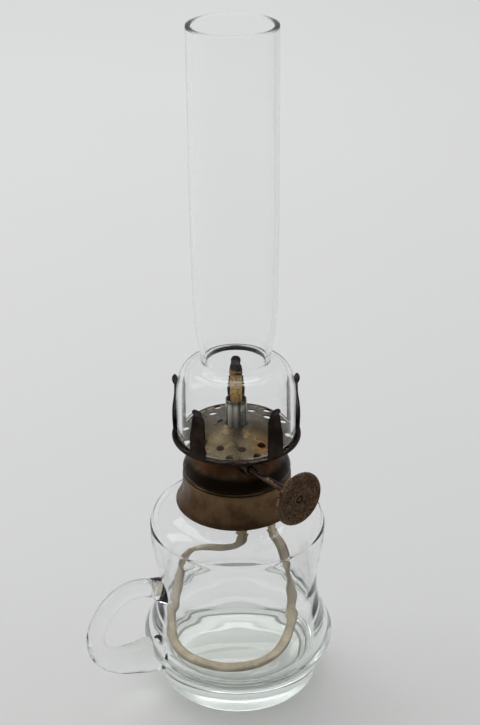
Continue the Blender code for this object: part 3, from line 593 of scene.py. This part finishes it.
def standing_wick_material(colours):
    """Oily golden braid with a burnt top."""
    turn = math.atan2(SHAFT_DIRECTION.y, SHAFT_DIRECTION.x)

    def place_of(tree):
        laid = stretched(tree, object_place(tree), (1.0, 1.0, 1.0), rotation=(0.0, 0.0, -turn))
        joined = add_node(tree, "CombineXYZ")
        feed(tree, joined, X=along_axis(tree, laid, "X"), Y=along_axis(tree, laid, "Z"))
        return joined.outputs[0]

    material, tree, shader, body = cotton_material(
        "wick_standing", place_of, 0.0, colours.oiled, (0.800, 0.540, 0.170))
    place = object_place(tree)
    fleck = ranged(tree, noise(tree, place, 1300.0, 3.0), 0.46, 0.58)
    body = mixed(tree, math_node(tree, "MULTIPLY", fleck, 0.80), body, (0.190, 0.090, 0.022))
    ragged = math_node(tree, "MULTIPLY", noise(tree, place, 700.0, 3.0), 0.0016)
    level = math_node(tree, "ADD", height_above(tree), ragged)
    top = box_high("wick_strip").z
    singed = ranged(tree, level, top - 0.0066, top - 0.0026, 0.0, 0.55)
    body = mixed(tree, singed, body, (0.30, 0.14, 0.035))
    burnt = ranged(tree, level, top - 0.0034, top - 0.0020)
    feed(tree, shader, Base_Color=mixed(tree, burnt, body, colours.char))
    return material


def loose_wick_material(colours, around, along):
    """Clean beige braid, stained where it leaves the burner."""
    def place_of(tree):
        return stretched(tree, add_node(tree, "TexCoord").outputs["UV"], (around, along, 1.0))

    material, tree, shader, body = cotton_material(
        "wick_loose", place_of, 0.50, (0.800, 0.640, 0.400), colours.cotton)
    soak = ranged(tree, height_above(tree), 0.0600, 0.0740, 0.0, 0.75)
    feed(tree, shader, Base_Color=mixed(tree, soak, body, (0.620, 0.430, 0.170)))
    return material


def plaster_material():
    material, tree, shader = new_material("plaster")
    grain = noise(tree, object_place(tree), 900.0, 6.0)
    tone = mixed(tree, ranged(tree, grain, 0.35, 0.7), (0.52, 0.49, 0.43), (0.78, 0.76, 0.70))
    feed(tree, shader, Base_Color=tone, Roughness=ranged(tree, grain, 0.3, 0.7, 0.82, 0.98))
    bump(tree, grain, 0.5, 0.0001, shader)
    return material


def dress(node, material):
    """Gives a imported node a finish."""
    slots = frame["nodes"][node].data.materials
    slots.clear()
    slots.append(material)


# Operators

class LAMP_OT_stage(bpy.types.Operator):
    """Pale floor, soft light and the camera"""
    bl_idname = "lamp.stage"
    bl_label = "Studio stage"

    def execute(self, context):
        stage = context.scene.lamp_stage
        colours = context.scene.lamp_colours
        self.add_camera(stage)
        self.add_floor(colours)
        self.add_lights(stage)
        self.add_room(stage)
        context.scene.view_settings.view_transform = "Standard"
        return {"FINISHED"}

    def add_camera(self, stage):
        camera = bpy.data.cameras.new("view")
        camera.lens = stage.lens
        camera.sensor_width = 36.0
        camera.clip_start, camera.clip_end = 0.01, 60.0
        item = add_object("view", camera)
        look = Matrix.Rotation(-stage.yaw, 4, "Z") @ Matrix.Rotation(
            math.pi / 2.0 - stage.pitch, 4, "X") @ Matrix.Rotation(stage.roll, 4, "Z")
        item.matrix_world = Matrix.Translation((0.0, -stage.distance, stage.height)) @ look
        bpy.context.scene.camera = item

    def add_floor(self, colours):
        bm = bmesh.new()
        bmesh.ops.create_circle(bm, cap_ends=True, segments=96, radius=24.0)
        material, tree, shader = new_material("studio_floor")
        place = object_place(tree)
        soft = ranged(tree, noise(tree, place, 2.2, 2.0), 0.3, 0.7)
        tone = mixed(tree, soft, tuple(0.985 * part for part in colours.floor), colours.floor)
        # Painted shade: the floor turns darker and warmer from a little behind the lamp towards the
        # camera
        near = ranged(tree, along_axis(tree, place, "Y"), -0.16, 0.10, 1.0, 0.0)
        painted_floor_shade = tuple(part * share for part, share in zip(colours.floor, (0.94, 0.925, 0.905)))
        feed(tree, shader, Base_Color=mixed(tree, near, tone, painted_floor_shade), Roughness=0.9,
             Specular_IOR_Level=0.15)
        piece("floor", bm, material)

    def add_lights(self, stage):
        lights = [
            ("overhead", stage.key_power, (1.9, 1.5), (-0.25, 0.95, 1.75), (0.0, 0.25, 0.0),
             (0.98, 0.99, 1.0)),
            ("left_panel", 2.2, (0.35, 1.0), (-1.10, 0.15, 0.75), (0.0, 0.0, 0.15),
             (1.0, 1.0, 1.0)),
        ]
        for name, power, size, place, target, tint in lights:
            light = bpy.data.lights.new(name, "AREA")
            light.shape = "RECTANGLE"
            light.size, light.size_y = size
            light.energy = power
            light.color = tint
            item = add_object(name, light)
            look = (Vector(place) - Vector(target)).to_track_quat("Z", "Y")
            item.matrix_world = Matrix.Translation(place) @ look.to_matrix().to_4x4()
            item.visible_glossy = name != "overhead"

    def add_room(self, stage):
        world = bpy.data.worlds.new("room")
        world.use_nodes = True
        tree = world.node_tree
        tree.nodes.clear()
        place = add_node(tree, "TexCoord").outputs["Generated"]
        front = ranged(tree, along_axis(tree, place, "Y"), -0.75, -0.15)
        up = ranged(tree, along_axis(tree, place, "Z"), 0.15, 0.80)
        tone = mixed(tree, front, (0.38, 0.38, 0.385), (0.90, 0.90, 0.92))
        background = feed(tree, add_node(tree, "Background"), Strength=stage.ambient,
                          Color=mixed(tree, up, tone, (0.80, 0.80, 0.83)))
        feed(tree, add_node(tree, "OutputWorld"), Surface=background.outputs[0])
        bpy.context.scene.world = world


class LAMP_OT_loose_wick(bpy.types.Operator):
    """The loose wick that hangs from the burner and lies round the font's floor"""
    bl_idname = "lamp.loose_wick"
    bl_label = "Loose wick"

    def execute(self, context):
        sizes, colours = context.scene.lamp_sizes, context.scene.lamp_colours
        route = smooth_through(TAIL_POINTS, TAIL_STEPS)
        flat = sizes.tail_width - sizes.tail_thickness
        along = sum((b - a).length for a, b in zip(route, route[1:]))
        around = 2.0 * flat + math.pi * sizes.tail_thickness
        line = add_object("wick_loose_line", self.band_curve(sizes, route, flat))
        item = add_object("loose_wick", finished_mesh(line))
        bpy.data.objects.remove(line, do_unlink=True)
        item.data.materials.clear()
        item.data.materials.append(loose_wick_material(colours, around, along))
        reshade(item, 60.0)
        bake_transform(item)
        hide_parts("wick_tail")
        return {"FINISHED"}

    def band_curve(self, sizes, route, flat):
        """A flat band along the route, standing on edge, that leans with its way up."""
        curve = bpy.data.curves.new("wick_loose_line", "CURVE")
        curve.dimensions = "3D"
        curve.fill_mode = "FULL"
        curve.twist_mode = "Z_UP"
        curve.extrude = flat / 2.0
        curve.bevel_depth = sizes.tail_thickness / 2.0
        curve.bevel_resolution = 5
        curve.use_fill_caps = True
        spline = curve.splines.new("POLY")
        spline.points.add(len(route) - 1)
        for index, (point, spot) in enumerate(zip(spline.points, route)):
            point.co = (*spot, 1.0)
            point.tilt = math.pi / 2.0
            if index >= TAIL_STEPS * TAIL_RISES:
                ahead = route[min(index + 1, len(route) - 1)] - route[index - 1]
                point.tilt += math.atan2(ahead.y, ahead.x) % TAU - math.pi / 2.0
        return curve


class LAMP_OT_standing_wick(bpy.types.Operator):
    """The wick in its tube, with its burnt top"""
    bl_idname = "lamp.standing_wick"
    bl_label = "Standing wick"

    def execute(self, context):
        sizes, colours = context.scene.lamp_sizes, context.scene.lamp_colours
        foot, top = box_low("wick_strip").z, box_high("wick_strip").z
        half, round_end = sizes.wick_width / 2.0, 0.0034
        turn = Matrix.Rotation(math.atan2(SHAFT_DIRECTION.y, SHAFT_DIRECTION.x), 4, "Z")
        thick = sizes.wick_thickness / sizes.wick_width
        steps, squareness = 120, 2.0 / 3.2
        stations = []
        for step in range(steps + 1):
            level = foot + (top - foot) * step / steps
            into = max(0.0, level - (top - round_end)) / round_end
            share = math.sqrt(max(1.0 - 0.72 * into ** 2.4, 0.0))
            size = Matrix.Diagonal((half * share, half * thick * share, half, 1.0))
            stations.append(Matrix.Translation((0.0, 0.0, level)) @ turn @ size)
        bm = swept_mesh(48, stations)
        for vert in bm.verts:
            self.flatten(vert, turn, thick, squareness)
        item = piece("standing_wick", bm, standing_wick_material(colours), 60.0)
        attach(item, "wick")
        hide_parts("wick_strip")
        return {"FINISHED"}

    def flatten(self, vert, turn, thick, power):
        """Turns an oval section into a flat band with round edges, ribbed across its strands."""
        local = turn.inverted() @ vert.co
        reach = math.hypot(local.x, local.y / thick)
        if reach < 1e-7:
            return
        cosine, sine = local.x / reach, local.y / thick / reach
        x = math.copysign(abs(cosine) ** power, cosine) * reach
        y = math.copysign(abs(sine) ** power, sine) * reach * thick
        rib = 1.0 - 0.030 * (1.0 + math.sin(TAU * (local.z + 0.35 * x) / 0.0012))
        vert.co = turn @ Vector((x * rib, y * rib, local.z))


class LAMP_OT_font(bpy.types.Operator):
    """The glass font and its handle, fused into one piece"""
    bl_idname = "lamp.font"
    bl_label = "Glass font"

    neck_radius = 0.0186
    neck_wall = 0.0020
    collar_foot = 0.0820

    def execute(self, context):
        sizes, colours = context.scene.lamp_sizes, context.scene.lamp_colours
        outer, hollow = self.outside(), sizes.foot_hollow
        foot = [(0.0, hollow), (0.010, 0.92 * hollow), (0.019, 0.62 * hollow),
                (0.0255, 0.18 * hollow), (0.0282, 0.0)]
        top = box_high("glass_font").z
        neck, lip = self.neck_radius, 0.0010
        body = smooth_through(foot, 4) + outer + [(neck, self.collar_foot + 0.0020)]
        body += arc(neck - lip, top - lip, lip, 0.0, 90.0, 5) + [(0.0, top)]
        material = glass_material("font_glass", 1.38, 3.0, 38.0, 0.00004, colours, 0.0, 0.20)
        item = piece("font_body", spun_mesh(body, sizes.spin_steps, False), material)
        combine(item, piece("handle_tool", self.handle_mesh()), "UNION")
        combine(item, piece("cavity_tool", self.cavity_mesh(sizes, outer)), "DIFFERENCE")
        reshade(item, 50.0)
        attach(item, "root")
        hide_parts("glass_font", "font_handle")
        return {"FINISHED"}

    def outside(self):
        """The font's outside from the foot's rounded edge up to the neck."""
        edge = arc(0.0300, 0.0024, 0.0024, -90.0, 0.0, 6)
        side = [
            (0.0324, 0.0024), (0.0334, 0.0080), (0.0352, 0.0135), (0.0377, 0.0166),
            (0.0385, 0.0183), (0.0387, 0.0195), (0.0385, 0.0211), (0.0374, 0.0240),
            (0.0342, 0.0305), (0.0323, 0.0385), (0.0322, 0.0470), (0.03345, 0.0570),
            (0.0346, 0.0650), (0.0349, 0.0710), (0.0345, 0.0732), (0.0331, 0.0762),
            (0.0309, 0.0785), (0.0281, 0.0803), (0.02415, 0.0815), (0.0198, 0.0824),
        ]
        return edge + smooth_through(side, 5)[1:]

    def cavity_mesh(self, sizes, outer):
        """The space inside the glass, up through the neck."""
        floor = sizes.font_floor
        cavity, belly, corner = 0.0320 - sizes.font_wall, 0.0335, 0.0070
        wall = [p for p in outer if 0.0440 < p.y < self.collar_foot - 0.0003]
        rise = offset_line(wall, sizes.font_wall)
        bore = self.neck_radius - self.neck_wall
        top = box_high("glass_font").z
        line = [(0.0, floor), (0.012, floor + 0.0001)]
        bend = arc(belly - corner, floor + 0.0006 + corner, corner, -90.0, 20.0, 10)
        line += bend[:-1]
        line += smooth_through([bend[-1], (cavity + 0.0013, 0.0305), (cavity, 0.0400)]
                               + rise[::4] + [rise[-1]], 3)
        line += [(bore, self.collar_foot + 0.0012), (bore, top - 0.0010),
                 (bore + 0.0006, top - 0.0003), (bore + 0.0014, top + 0.0010), (0.0, top + 0.0010)]
        return spun_mesh(line, sizes.spin_steps, False)

    def handle_mesh(self):
        """A drawn loop of glass, thick where it starts at the roll and pressed on at its top."""
        route = [
            (0.0302, 0.0448, 0.0056), (0.0330, 0.0466, 0.0049), (0.0365, 0.0482, 0.0040),
            (0.0440, 0.0490, 0.0038), (0.0492, 0.0476, 0.0037), (0.0540, 0.0437, 0.0037),
            (0.0578, 0.0383, 0.0037), (0.0603, 0.0323, 0.0037), (0.0608, 0.0273, 0.0038),
            (0.0594, 0.0220, 0.0043), (0.0556, 0.0180, 0.0050), (0.0503, 0.0160, 0.0057),
            (0.0449, 0.0156, 0.0064), (0.0405, 0.0156, 0.0071), (0.0367, 0.0156, 0.0072),
            (0.0317, 0.0156, 0.0074),
        ]
        azimuth = math.radians(200.0)
        outward = Vector((math.cos(azimuth), math.sin(azimuth), 0.0))
        sideways = Vector((-outward.y, outward.x, 0.0))
        line = smooth_through(route, 6)
        stations = []
        for index, (reach, height, half) in enumerate(line):
            before, after = line[max(index - 1, 0)], line[min(index + 1, len(line) - 1)]
            along = outward * (after[0] - before[0]) + Vector((0.0, 0.0, after[1] - before[1]))
            along.normalize()
            across = along.cross(sideways)
            frame_rows = Matrix((sideways * half, across * half, along * half)).transposed()
            middle = outward * reach + Vector((0.0, 0.0, height))
            stations.append(Matrix.Translation(middle) @ frame_rows.to_4x4())
        return swept_mesh(48, stations)


class LAMP_OT_chimney(bpy.types.Operator):
    """The clear chimney with its bulb, crimp and tube"""
    bl_idname = "lamp.chimney"
    bl_label = "Chimney"

    def execute(self, context):
        sizes, colours = context.scene.lamp_sizes, context.scene.lamp_colours
        low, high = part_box("glass_chimney")
        foot, top, bulb, wall = low.z, high.z, high.x, sizes.chimney_wall
        straight, crimp, tube, pinch = foot + 0.0130, foot + 0.0302, 0.0163, 0.0031
        neck = tube - pinch
        dome, width = crimp - straight, bulb - neck
        side = [(bulb, foot + 0.0009), (bulb, foot + 0.0078)]
        for step in range(15):
            turn = math.radians(6.0 * step)
            side.append((neck + width * math.cos(turn) ** 0.72,
                         straight + dome * (math.sin(turn) ** 0.72 - 0.02 * step / 14)))
        side += [
            (neck, crimp + 0.0004), (neck + 0.06 * pinch, crimp + 0.0020),
            (neck + 0.30 * pinch, crimp + 0.0070), (neck + 0.60 * pinch, crimp + 0.0135),
            (neck + 0.80 * pinch, crimp + 0.0220), (tube - 0.0003, crimp + 0.0340),
            (tube, crimp + 0.0600), (tube, top - 0.0009),
        ]
        outer = smooth_through(side, 5)
        inner = offset_line(outer, wall)
        half = wall / 2.0
        edge = 0.0004
        rim = arc(tube - edge, top - edge, edge, 0.0, 90.0, 4)
        rim += arc(tube - wall + edge, top - edge, edge, 90.0, 180.0, 4)
        lip = arc(bulb - half, foot + half, half, 200.0, 340.0, 8)
        material = glass_material("chimney_glass", 1.28, 3.0, 30.0, 0.00002, colours, top, 0.65)
        bm = spun_mesh(outer + rim + inner[::-1] + lip, sizes.spin_steps, True)
        item = piece("chimney", bm, material, 50.0)
        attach(item, "chimney")
        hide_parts("glass_chimney")
        return {"FINISHED"}


class LAMP_OT_collar(bpy.types.Operator):
    """The flared brass collar and the plaster that beds it"""
    bl_idname = "lamp.collar"
    bl_label = "Collar"

    def execute(self, context):
        low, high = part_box("neck_collar")
        foot, top, wide, sheet = low.z, high.z, high.x, context.scene.lamp_sizes.collar_sheet
        waist, throat = 0.0213, 0.0152
        flare = wide - waist
        skirt = smooth_through([
            (wide - 0.0004, foot + 0.0013), (waist + 0.83 * flare, foot + 0.0018),
            (waist + 0.52 * flare, foot + 0.0036), (waist + 0.22 * flare, foot + 0.0060),
            (waist + 0.05 * flare, foot + 0.0084), (waist, top - 0.0008)], 5)
        bead = arc(wide - 0.0007, foot + 0.0007, 0.0007, -110.0, 62.0, 8)
        edge = arc(waist - 0.0006, top - 0.0006, 0.0006, 0.0, 90.0, 4)
        inner = [(p.x - sheet, p.y) for p in skirt[1:-1]]
        outline = bead + skirt[1:] + edge[1:]
        outline += [(throat + 0.0003, top), (throat, top - 0.0003), (throat, foot + 0.0035),
                    (throat + sheet, foot + 0.0035), (throat + sheet, top - sheet),
                    (waist - sheet, top - sheet)]
        outline += inner[::-1] + [(wide - 0.0014, foot + 0.0009)]
        bm = spun_mesh(outline, context.scene.lamp_sizes.spin_steps, True)
        item = piece("collar", bm, collar_material())
        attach(item, "root")
        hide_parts("neck_collar")
        dress("plaster_bed", plaster_material())
        return {"FINISHED"}


class LAMP_OT_burner_shell(bpy.types.Operator):
    """The burner's drum and its screw base"""
    bl_idname = "lamp.burner_shell"
    bl_label = "Burner shell"

    def execute(self, context):
        sizes, colours = context.scene.lamp_sizes, context.scene.lamp_colours
        self.make_drum(sizes)
        self.make_base(sizes, colours)
        return {"FINISHED"}

    def make_drum(self, sizes):
        low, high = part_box("burner_drum")
        foot, rise, wide, crown = low.z, high.z - low.z, high.x, 0.0122
        width = wide - crown
        outer = smooth_through([
            (wide - 0.0002, foot), (wide, foot + 0.04 * rise),
            (wide - 0.01 * width, foot + 0.10 * rise), (wide - 0.13 * width, foot + 0.25 * rise),
            (wide - 0.38 * width, foot + 0.44 * rise), (wide - 0.68 * width, foot + 0.68 * rise),
            (crown + 0.06 * width, foot + 0.90 * rise), (crown, high.z)], 6)
        inner = offset_line(outer, sizes.brass_sheet)
        inner[0] = (outer[0].x - sizes.brass_sheet, foot)
        inner[-1] = (crown - sizes.brass_sheet, high.z)
        bm = spun_mesh(outer + inner[::-1], sizes.spin_steps, True)
        item = piece("drum", bm, drum_material())
        bm = bmesh.new()
        add_rod(bm, 0.0026, 0.040, 32, shaft_matrix(0.0122))
        combine(item, piece("bush_hole", bm), "DIFFERENCE")
        reshade(item, 35.0)
        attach(item, "burner")
        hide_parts("burner_drum")

    def make_base(self, sizes, colours):
        low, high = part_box("burner_base")
        foot, top, wide = low.z, high.z, high.x
        skirt, sheet, hole, seat = 0.0149, 0.0007, 0.00435, top - 0.0007
        pitch, turns, rib, edge = 0.0015, 5, 0.0004, 0.0002
        outline = [(hole, foot), (skirt - rib, foot), (skirt, foot + 0.0004)]
        for turn in range(turns):
            level = foot + 0.0010 + turn * pitch
            outline += [(skirt, level), (skirt - rib, level + pitch / 2.0)]
        outline += [(skirt, seat), (wide - edge, seat), (wide, seat + edge), (wide, top - edge),
                    (wide - edge, top), (skirt - sheet, top), (skirt - sheet, foot + sheet),
                    (hole, foot + sheet)]
        material = aged_material("base_brass", colours.brass, colours.brass_dark,
                                 (0.012, 0.007, 0.004))[0]
        item = piece("screw_base", spun_mesh(outline, sizes.spin_steps, True), material)
        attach(item, "burner")
        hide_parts("burner_base")


class LAMP_OT_gallery(bpy.types.Operator):
    """The gallery ring and the perforated plate"""
    bl_idname = "lamp.gallery"
    bl_label = "Gallery"

    def execute(self, context):
        sizes, colours = context.scene.lamp_sizes, context.scene.lamp_colours
        self.make_ring(sizes.spin_steps, colours)
        self.make_plate(sizes, colours)
        return {"FINISHED"}

    def make_ring(self, steps, colours):
        low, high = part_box("gallery_ring")
        wide, ledge, step, sheet = high.x, high.x - 0.0027, high.x - 0.0015, 0.0004
        bend, lip = 0.0004, 0.0003
        outline = [(ledge, low.z), (wide - bend, low.z)]
        outline += arc(wide - bend, low.z + bend, bend, -60.0, 0.0, 3)
        outline += arc(wide - bend, high.z - bend, bend, 0.0, 90.0, 4)
        outline += arc(step + lip, high.z - lip, lip, 90.0, 180.0, 3)
        outline += [(step, low.z + sheet), (ledge, low.z + sheet)]
        item = piece("ring", spun_mesh(outline, steps, True), iron_material(colours))
        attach(item, "burner")
        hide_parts("gallery_ring")

    def make_plate(self, sizes, colours):
        low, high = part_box("gallery_plate")
        edge, bore, sheet = high.x, 0.00435, 0.0005
        rim, rise = edge - 0.0018, high.z - low.z - sheet
        bands = 24
        radii = [edge] + [rim - (rim - bore) * step / bands for step in range(bands + 1)]
        top = []
        for radius in radii:
            share = max(0.0, (rim - radius) / (rim - bore))
            top.append(Vector((radius, low.z + sheet + rise * share * (0.72 + 0.28 * share))))
        under = [Vector((p.x, p.y - sheet)) for p in top]
        item = piece("plate", spun_mesh(top + under[::-1], sizes.spin_steps, True),
                     plate_material(colours))
        bm = bmesh.new()
        # Distance from the axis, first angle, radius and count of the holes in each ring
        rings = [(0.0203, 22.0, sizes.hole_radius, 12), (0.0155, 7.0, sizes.hole_radius, 12),
                 (0.0068, 158.0, 0.0012, 1)]
        for ring, phase, radius, count in rings:
            for index in range(count):
                angle = math.radians(phase) + TAU * index / count
                spot = Matrix.Translation((ring * math.cos(angle), ring * math.sin(angle), high.z))
                add_rod(bm, radius, 0.02, 24, spot)
        combine(item, piece("punches", bm), "DIFFERENCE")
        reshade(item, 35.0)
        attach(item, "burner")
        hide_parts("gallery_plate")


class LAMP_OT_springs(bpy.types.Operator):
    """The five springs that hold the chimney"""
    bl_idname = "lamp.springs"
    bl_label = "Springs"

    def execute(self, context):
        colours = context.scene.lamp_colours
        material = iron_material(colours)
        low = box_high("gallery_ring").z - 0.0007
        rise = box_high("spring_prong_1").z - low
        # Radius in metres, share of the height and half width in millimetres
        route = [
            (0.02425, 0.00, 3.5), (0.02435, 0.12, 3.5), (0.02440, 0.28, 3.5),
            (0.02420, 0.46, 3.4), (0.02380, 0.62, 3.0), (0.02355, 0.74, 2.8),
            (0.02365, 0.81, 2.5), (0.02385, 0.86, 1.9), (0.02425, 0.91, 2.15),
            (0.02465, 0.96, 1.95), (0.02485, 1.00, 0.9),
        ]
        line = smooth_through([(radius, low + share * rise, half * 0.001)
                               for radius, share, half in route], 5)
        for index in range(5):
            item = piece("spring_%d" % (index + 1), self.spring_mesh(line, index), material, 50.0)
            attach(item, "burner")
            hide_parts("spring_prong_%d" % (index + 1))
        return {"FINISHED"}

    def spring_mesh(self, line, index):
        """A flat strip bent along its line, wide as each place says, then given its thickness."""
        bm = bmesh.new()
        across, sheet = 8, 0.00044
        first = line[0]
        verts = [bm.verts.new((first[0], first[2] * (2.0 * step / across - 1.0), first[1]))
                 for step in range(across + 1)]
        edges = [bm.edges.new(pair) for pair in zip(verts, verts[1:])]
        for before, after in zip(line, line[1:]):
            grown = bmesh.ops.extrude_edge_only(bm, edges=edges)["geom"]
            edges = [item for item in grown if isinstance(item, bmesh.types.BMEdge)]
            moved = [item for item in grown if isinstance(item, bmesh.types.BMVert)]
            bmesh.ops.scale(bm, verts=moved, vec=(1.0, after[2] / before[2], 1.0))
            bmesh.ops.translate(bm, verts=moved,
                                vec=(after[0] - before[0], 0.0, after[1] - before[1]))
        bmesh.ops.recalc_face_normals(bm, faces=bm.faces)
        bmesh.ops.solidify(bm, geom=bm.faces[:], thickness=sheet)
        bmesh.ops.translate(bm, verts=bm.verts, vec=(sheet / 2.0, 0.0, 0.0))
        bmesh.ops.recalc_face_normals(bm, faces=bm.faces)
        turn = Matrix.Rotation(math.pi / 2.0 + TAU * index / 5, 4, "Z")
        bmesh.ops.transform(bm, matrix=turn, verts=bm.verts)
        return bm


class LAMP_OT_wick_tube(bpy.types.Operator):
    """The tinned wick tube with its slot, and the bracket round it"""
    bl_idname = "lamp.wick_tube"
    bl_label = "Wick tube"

    def execute(self, context):
        colours = context.scene.lamp_colours
        low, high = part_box("wick_tube")
        wide, sheet, rings = high.x, 0.0004, 12
        levels = [low.z + (high.z - low.z - sheet) * step / rings for step in range(rings + 1)]
        outline = [(wide, level) for level in levels]
        outline += arc(wide - sheet / 2.0, high.z - sheet / 2.0, sheet / 2.0, 30.0, 150.0, 4)
        outline += [(wide - sheet, level) for level in reversed(levels)]
        item = piece("tube", spun_mesh(outline, 72, True), tube_material(colours))
        self.cut_slot(item, wide)
        reshade(item, 35.0)
        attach(item, "burner")
        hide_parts("wick_tube")
        dress("raiser_bracket", iron_material(colours))
        return {"FINISHED"}

    def cut_slot(self, item, wide):
        """The slot that lets the spur wheels reach the wick."""
        bm = bmesh.new()
        offset = SHAFT_POINT.xy.length
        spur = offset - 0.0018
        half = math.sqrt(max(spur ** 2 - (offset - wide) ** 2, 0.0)) + 0.0006
        bmesh.ops.create_cube(bm, size=1.0)
        bmesh.ops.scale(bm, verts=bm.verts, vec=(2.0 * (wide - 0.0005), 2.0 * half, 0.0040))
        bmesh.ops.translate(bm, verts=bm.verts, vec=(offset - wide, 0.0, 0.0))
        bmesh.ops.transform(bm, matrix=shaft_matrix(), verts=bm.verts)
        combine(item, piece("slot_tool", bm), "DIFFERENCE")


class LAMP_OT_winder(bpy.types.Operator):
    """The shaft, its bush, the spur wheels and the knurled knob"""
    bl_idname = "lamp.winder"
    bl_label = "Winder"

    def execute(self, context):
        dark = aged_material("shaft_metal", (0.105, 0.062, 0.044), (0.040, 0.023, 0.016),
                             (0.012, 0.007, 0.005), 300.0, gloss=(0.26, 0.42), relief=0.00001)[0]
        self.make_shaft(dark)
        self.make_bush(dark)
        self.make_knob()
        for node in ("spur_wheel_inner", "spur_wheel_outer", "knob_washer"):
            dress(node, dark)
        return {"FINISHED"}

    def make_shaft(self, material):
        start, end = span_along("winder_shaft", SHAFT_POINT, SHAFT_DIRECTION)
        radius, chamfer = 0.0013, 0.0002
        outline = [(0.0, start), (radius - chamfer, start), (radius, start + chamfer)]
        outline += [(radius, start + (end - start) * step / 8) for step in range(1, 8)]
        outline += [(radius, end - 0.0006), (radius - 0.0002, end - 0.0002),
                    (radius - 0.0006, end), (0.0, end)]
        item = piece("shaft", turned_on_shaft(outline, 40, False), material, 40.0)
        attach(item, "winder")
        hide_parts("winder_shaft")

    def make_bush(self, material):
        start, end = span_along("shaft_bush", SHAFT_POINT, SHAFT_DIRECTION)
        wide, bore = 0.0023, 0.0016
        outline = [(bore, start), (wide - 0.0002, start), (wide, start + 0.0002),
                   (wide, end - 0.0006)]
        outline += arc(wide - 0.0004, end - 0.0004, 0.0004, 0.0, 90.0, 3)
        outline += [(bore + 0.0002, end), (bore, end - 0.0002)]
        item = piece("bush", turned_on_shaft(outline, 40, True), material, 40.0)
        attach(item, "burner")
        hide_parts("shaft_bush")

    def make_knob(self):
        start, end = span_along("knob_disc", SHAFT_POINT, SHAFT_DIRECTION)
        wide, teeth, depth, bore = 0.0106, 56, 0.0003, 0.0016
        fold, face, ribs = 0.0005, end - 0.0003, 42
        inside, outside = 0.0058, 0.0088
        outline = [
            (bore, start), (wide - 0.0020, start), (wide - 0.0016, start - fold),
            (wide - 0.0005, start - fold), (wide, start - fold + 0.0003), (wide, end - 0.0005),
            (wide - 0.0005, end - 0.0001), (wide - 0.0011, end), (wide - 0.0015, end - 0.0001)]
        outline += [(outside - (outside - inside) * step / 10, face) for step in range(11)]
        outline += [
            (0.0054, end - 0.0002), (0.0051, end), (0.0048, end - 0.0001), (0.0044, end - 0.0004),
            (0.0040, end - 0.0002), (0.0037, end - 0.0001), (0.0033, end - 0.0004),
            (0.0028, end - 0.0004), (0.0024, end - 0.0001), (bore + 0.0002, end - 0.0003),
            (bore, end - 0.0005),
        ]
        bm = spun_mesh(outline, teeth * 4, True)
        for vert in bm.verts:
            radius = math.hypot(vert.co.x, vert.co.y)
            angle = math.atan2(vert.co.y, vert.co.x)
            if radius > wide - 0.0004:
                dip = depth * (0.5 - 0.5 * math.cos(angle * teeth))
                scale = (radius - dip) / radius
                vert.co.x, vert.co.y = vert.co.x * scale, vert.co.y * scale
            elif inside + 0.0001 < radius < outside - 0.0001 and vert.co.z > face - 0.0001:
                row = math.sin(TAU * (radius - inside) / 0.0010)
                vert.co.z += 0.00016 * math.cos(angle * ribs + 1.3 * row) * (0.6 + 0.4 * abs(row))
        bmesh.ops.transform(bm, matrix=shaft_matrix(), verts=bm.verts)
        item = piece("knob", bm, knob_material(), 30.0)
        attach(item, "winder")
        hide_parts("knob_disc")


class LAMP_PT_panel(bpy.types.Panel):
    """Buttons and settings for the lamp"""
    bl_idname = "LAMP_PT_panel"
    bl_label = "Hand lamp"
    bl_space_type = "VIEW_3D"
    bl_region_type = "UI"
    bl_category = "Lamp"

    def draw(self, context):
        layout = self.layout
        for operator in OPERATORS:
            layout.operator(operator.bl_idname)
        scene = context.scene
        for settings in (scene.lamp_sizes, scene.lamp_colours, scene.lamp_stage):
            box = layout.box()
            for name in settings.__annotations__:
                box.prop(settings, name)


OPERATORS = (
    LAMP_OT_stage, LAMP_OT_loose_wick, LAMP_OT_standing_wick, LAMP_OT_font, LAMP_OT_chimney,
    LAMP_OT_collar, LAMP_OT_burner_shell, LAMP_OT_gallery, LAMP_OT_springs, LAMP_OT_wick_tube,
    LAMP_OT_winder,
)
SETTINGS = (LampSizes, LampColours, StageSettings)


def register():
    for item in SETTINGS + OPERATORS + (LAMP_PT_panel,):
        bpy.utils.register_class(item)
    bpy.types.Scene.lamp_sizes = bpy.props.PointerProperty(type=LampSizes)
    bpy.types.Scene.lamp_colours = bpy.props.PointerProperty(type=LampColours)
    bpy.types.Scene.lamp_stage = bpy.props.PointerProperty(type=StageSettings)


def unregister():
    for name in ("lamp_sizes", "lamp_colours", "lamp_stage"):
        delattr(bpy.types.Scene, name)
    for item in reversed(SETTINGS + OPERATORS + (LAMP_PT_panel,)):
        bpy.utils.unregister_class(item)


def main():
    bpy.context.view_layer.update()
    register()
    build_aged_metal()
    build_braid()
    build_glass_marks()
    for operator in OPERATORS:
        area, name = operator.bl_idname.split(".")
        getattr(getattr(bpy.ops, area), name)()


if __name__ == "__main__":
    main()
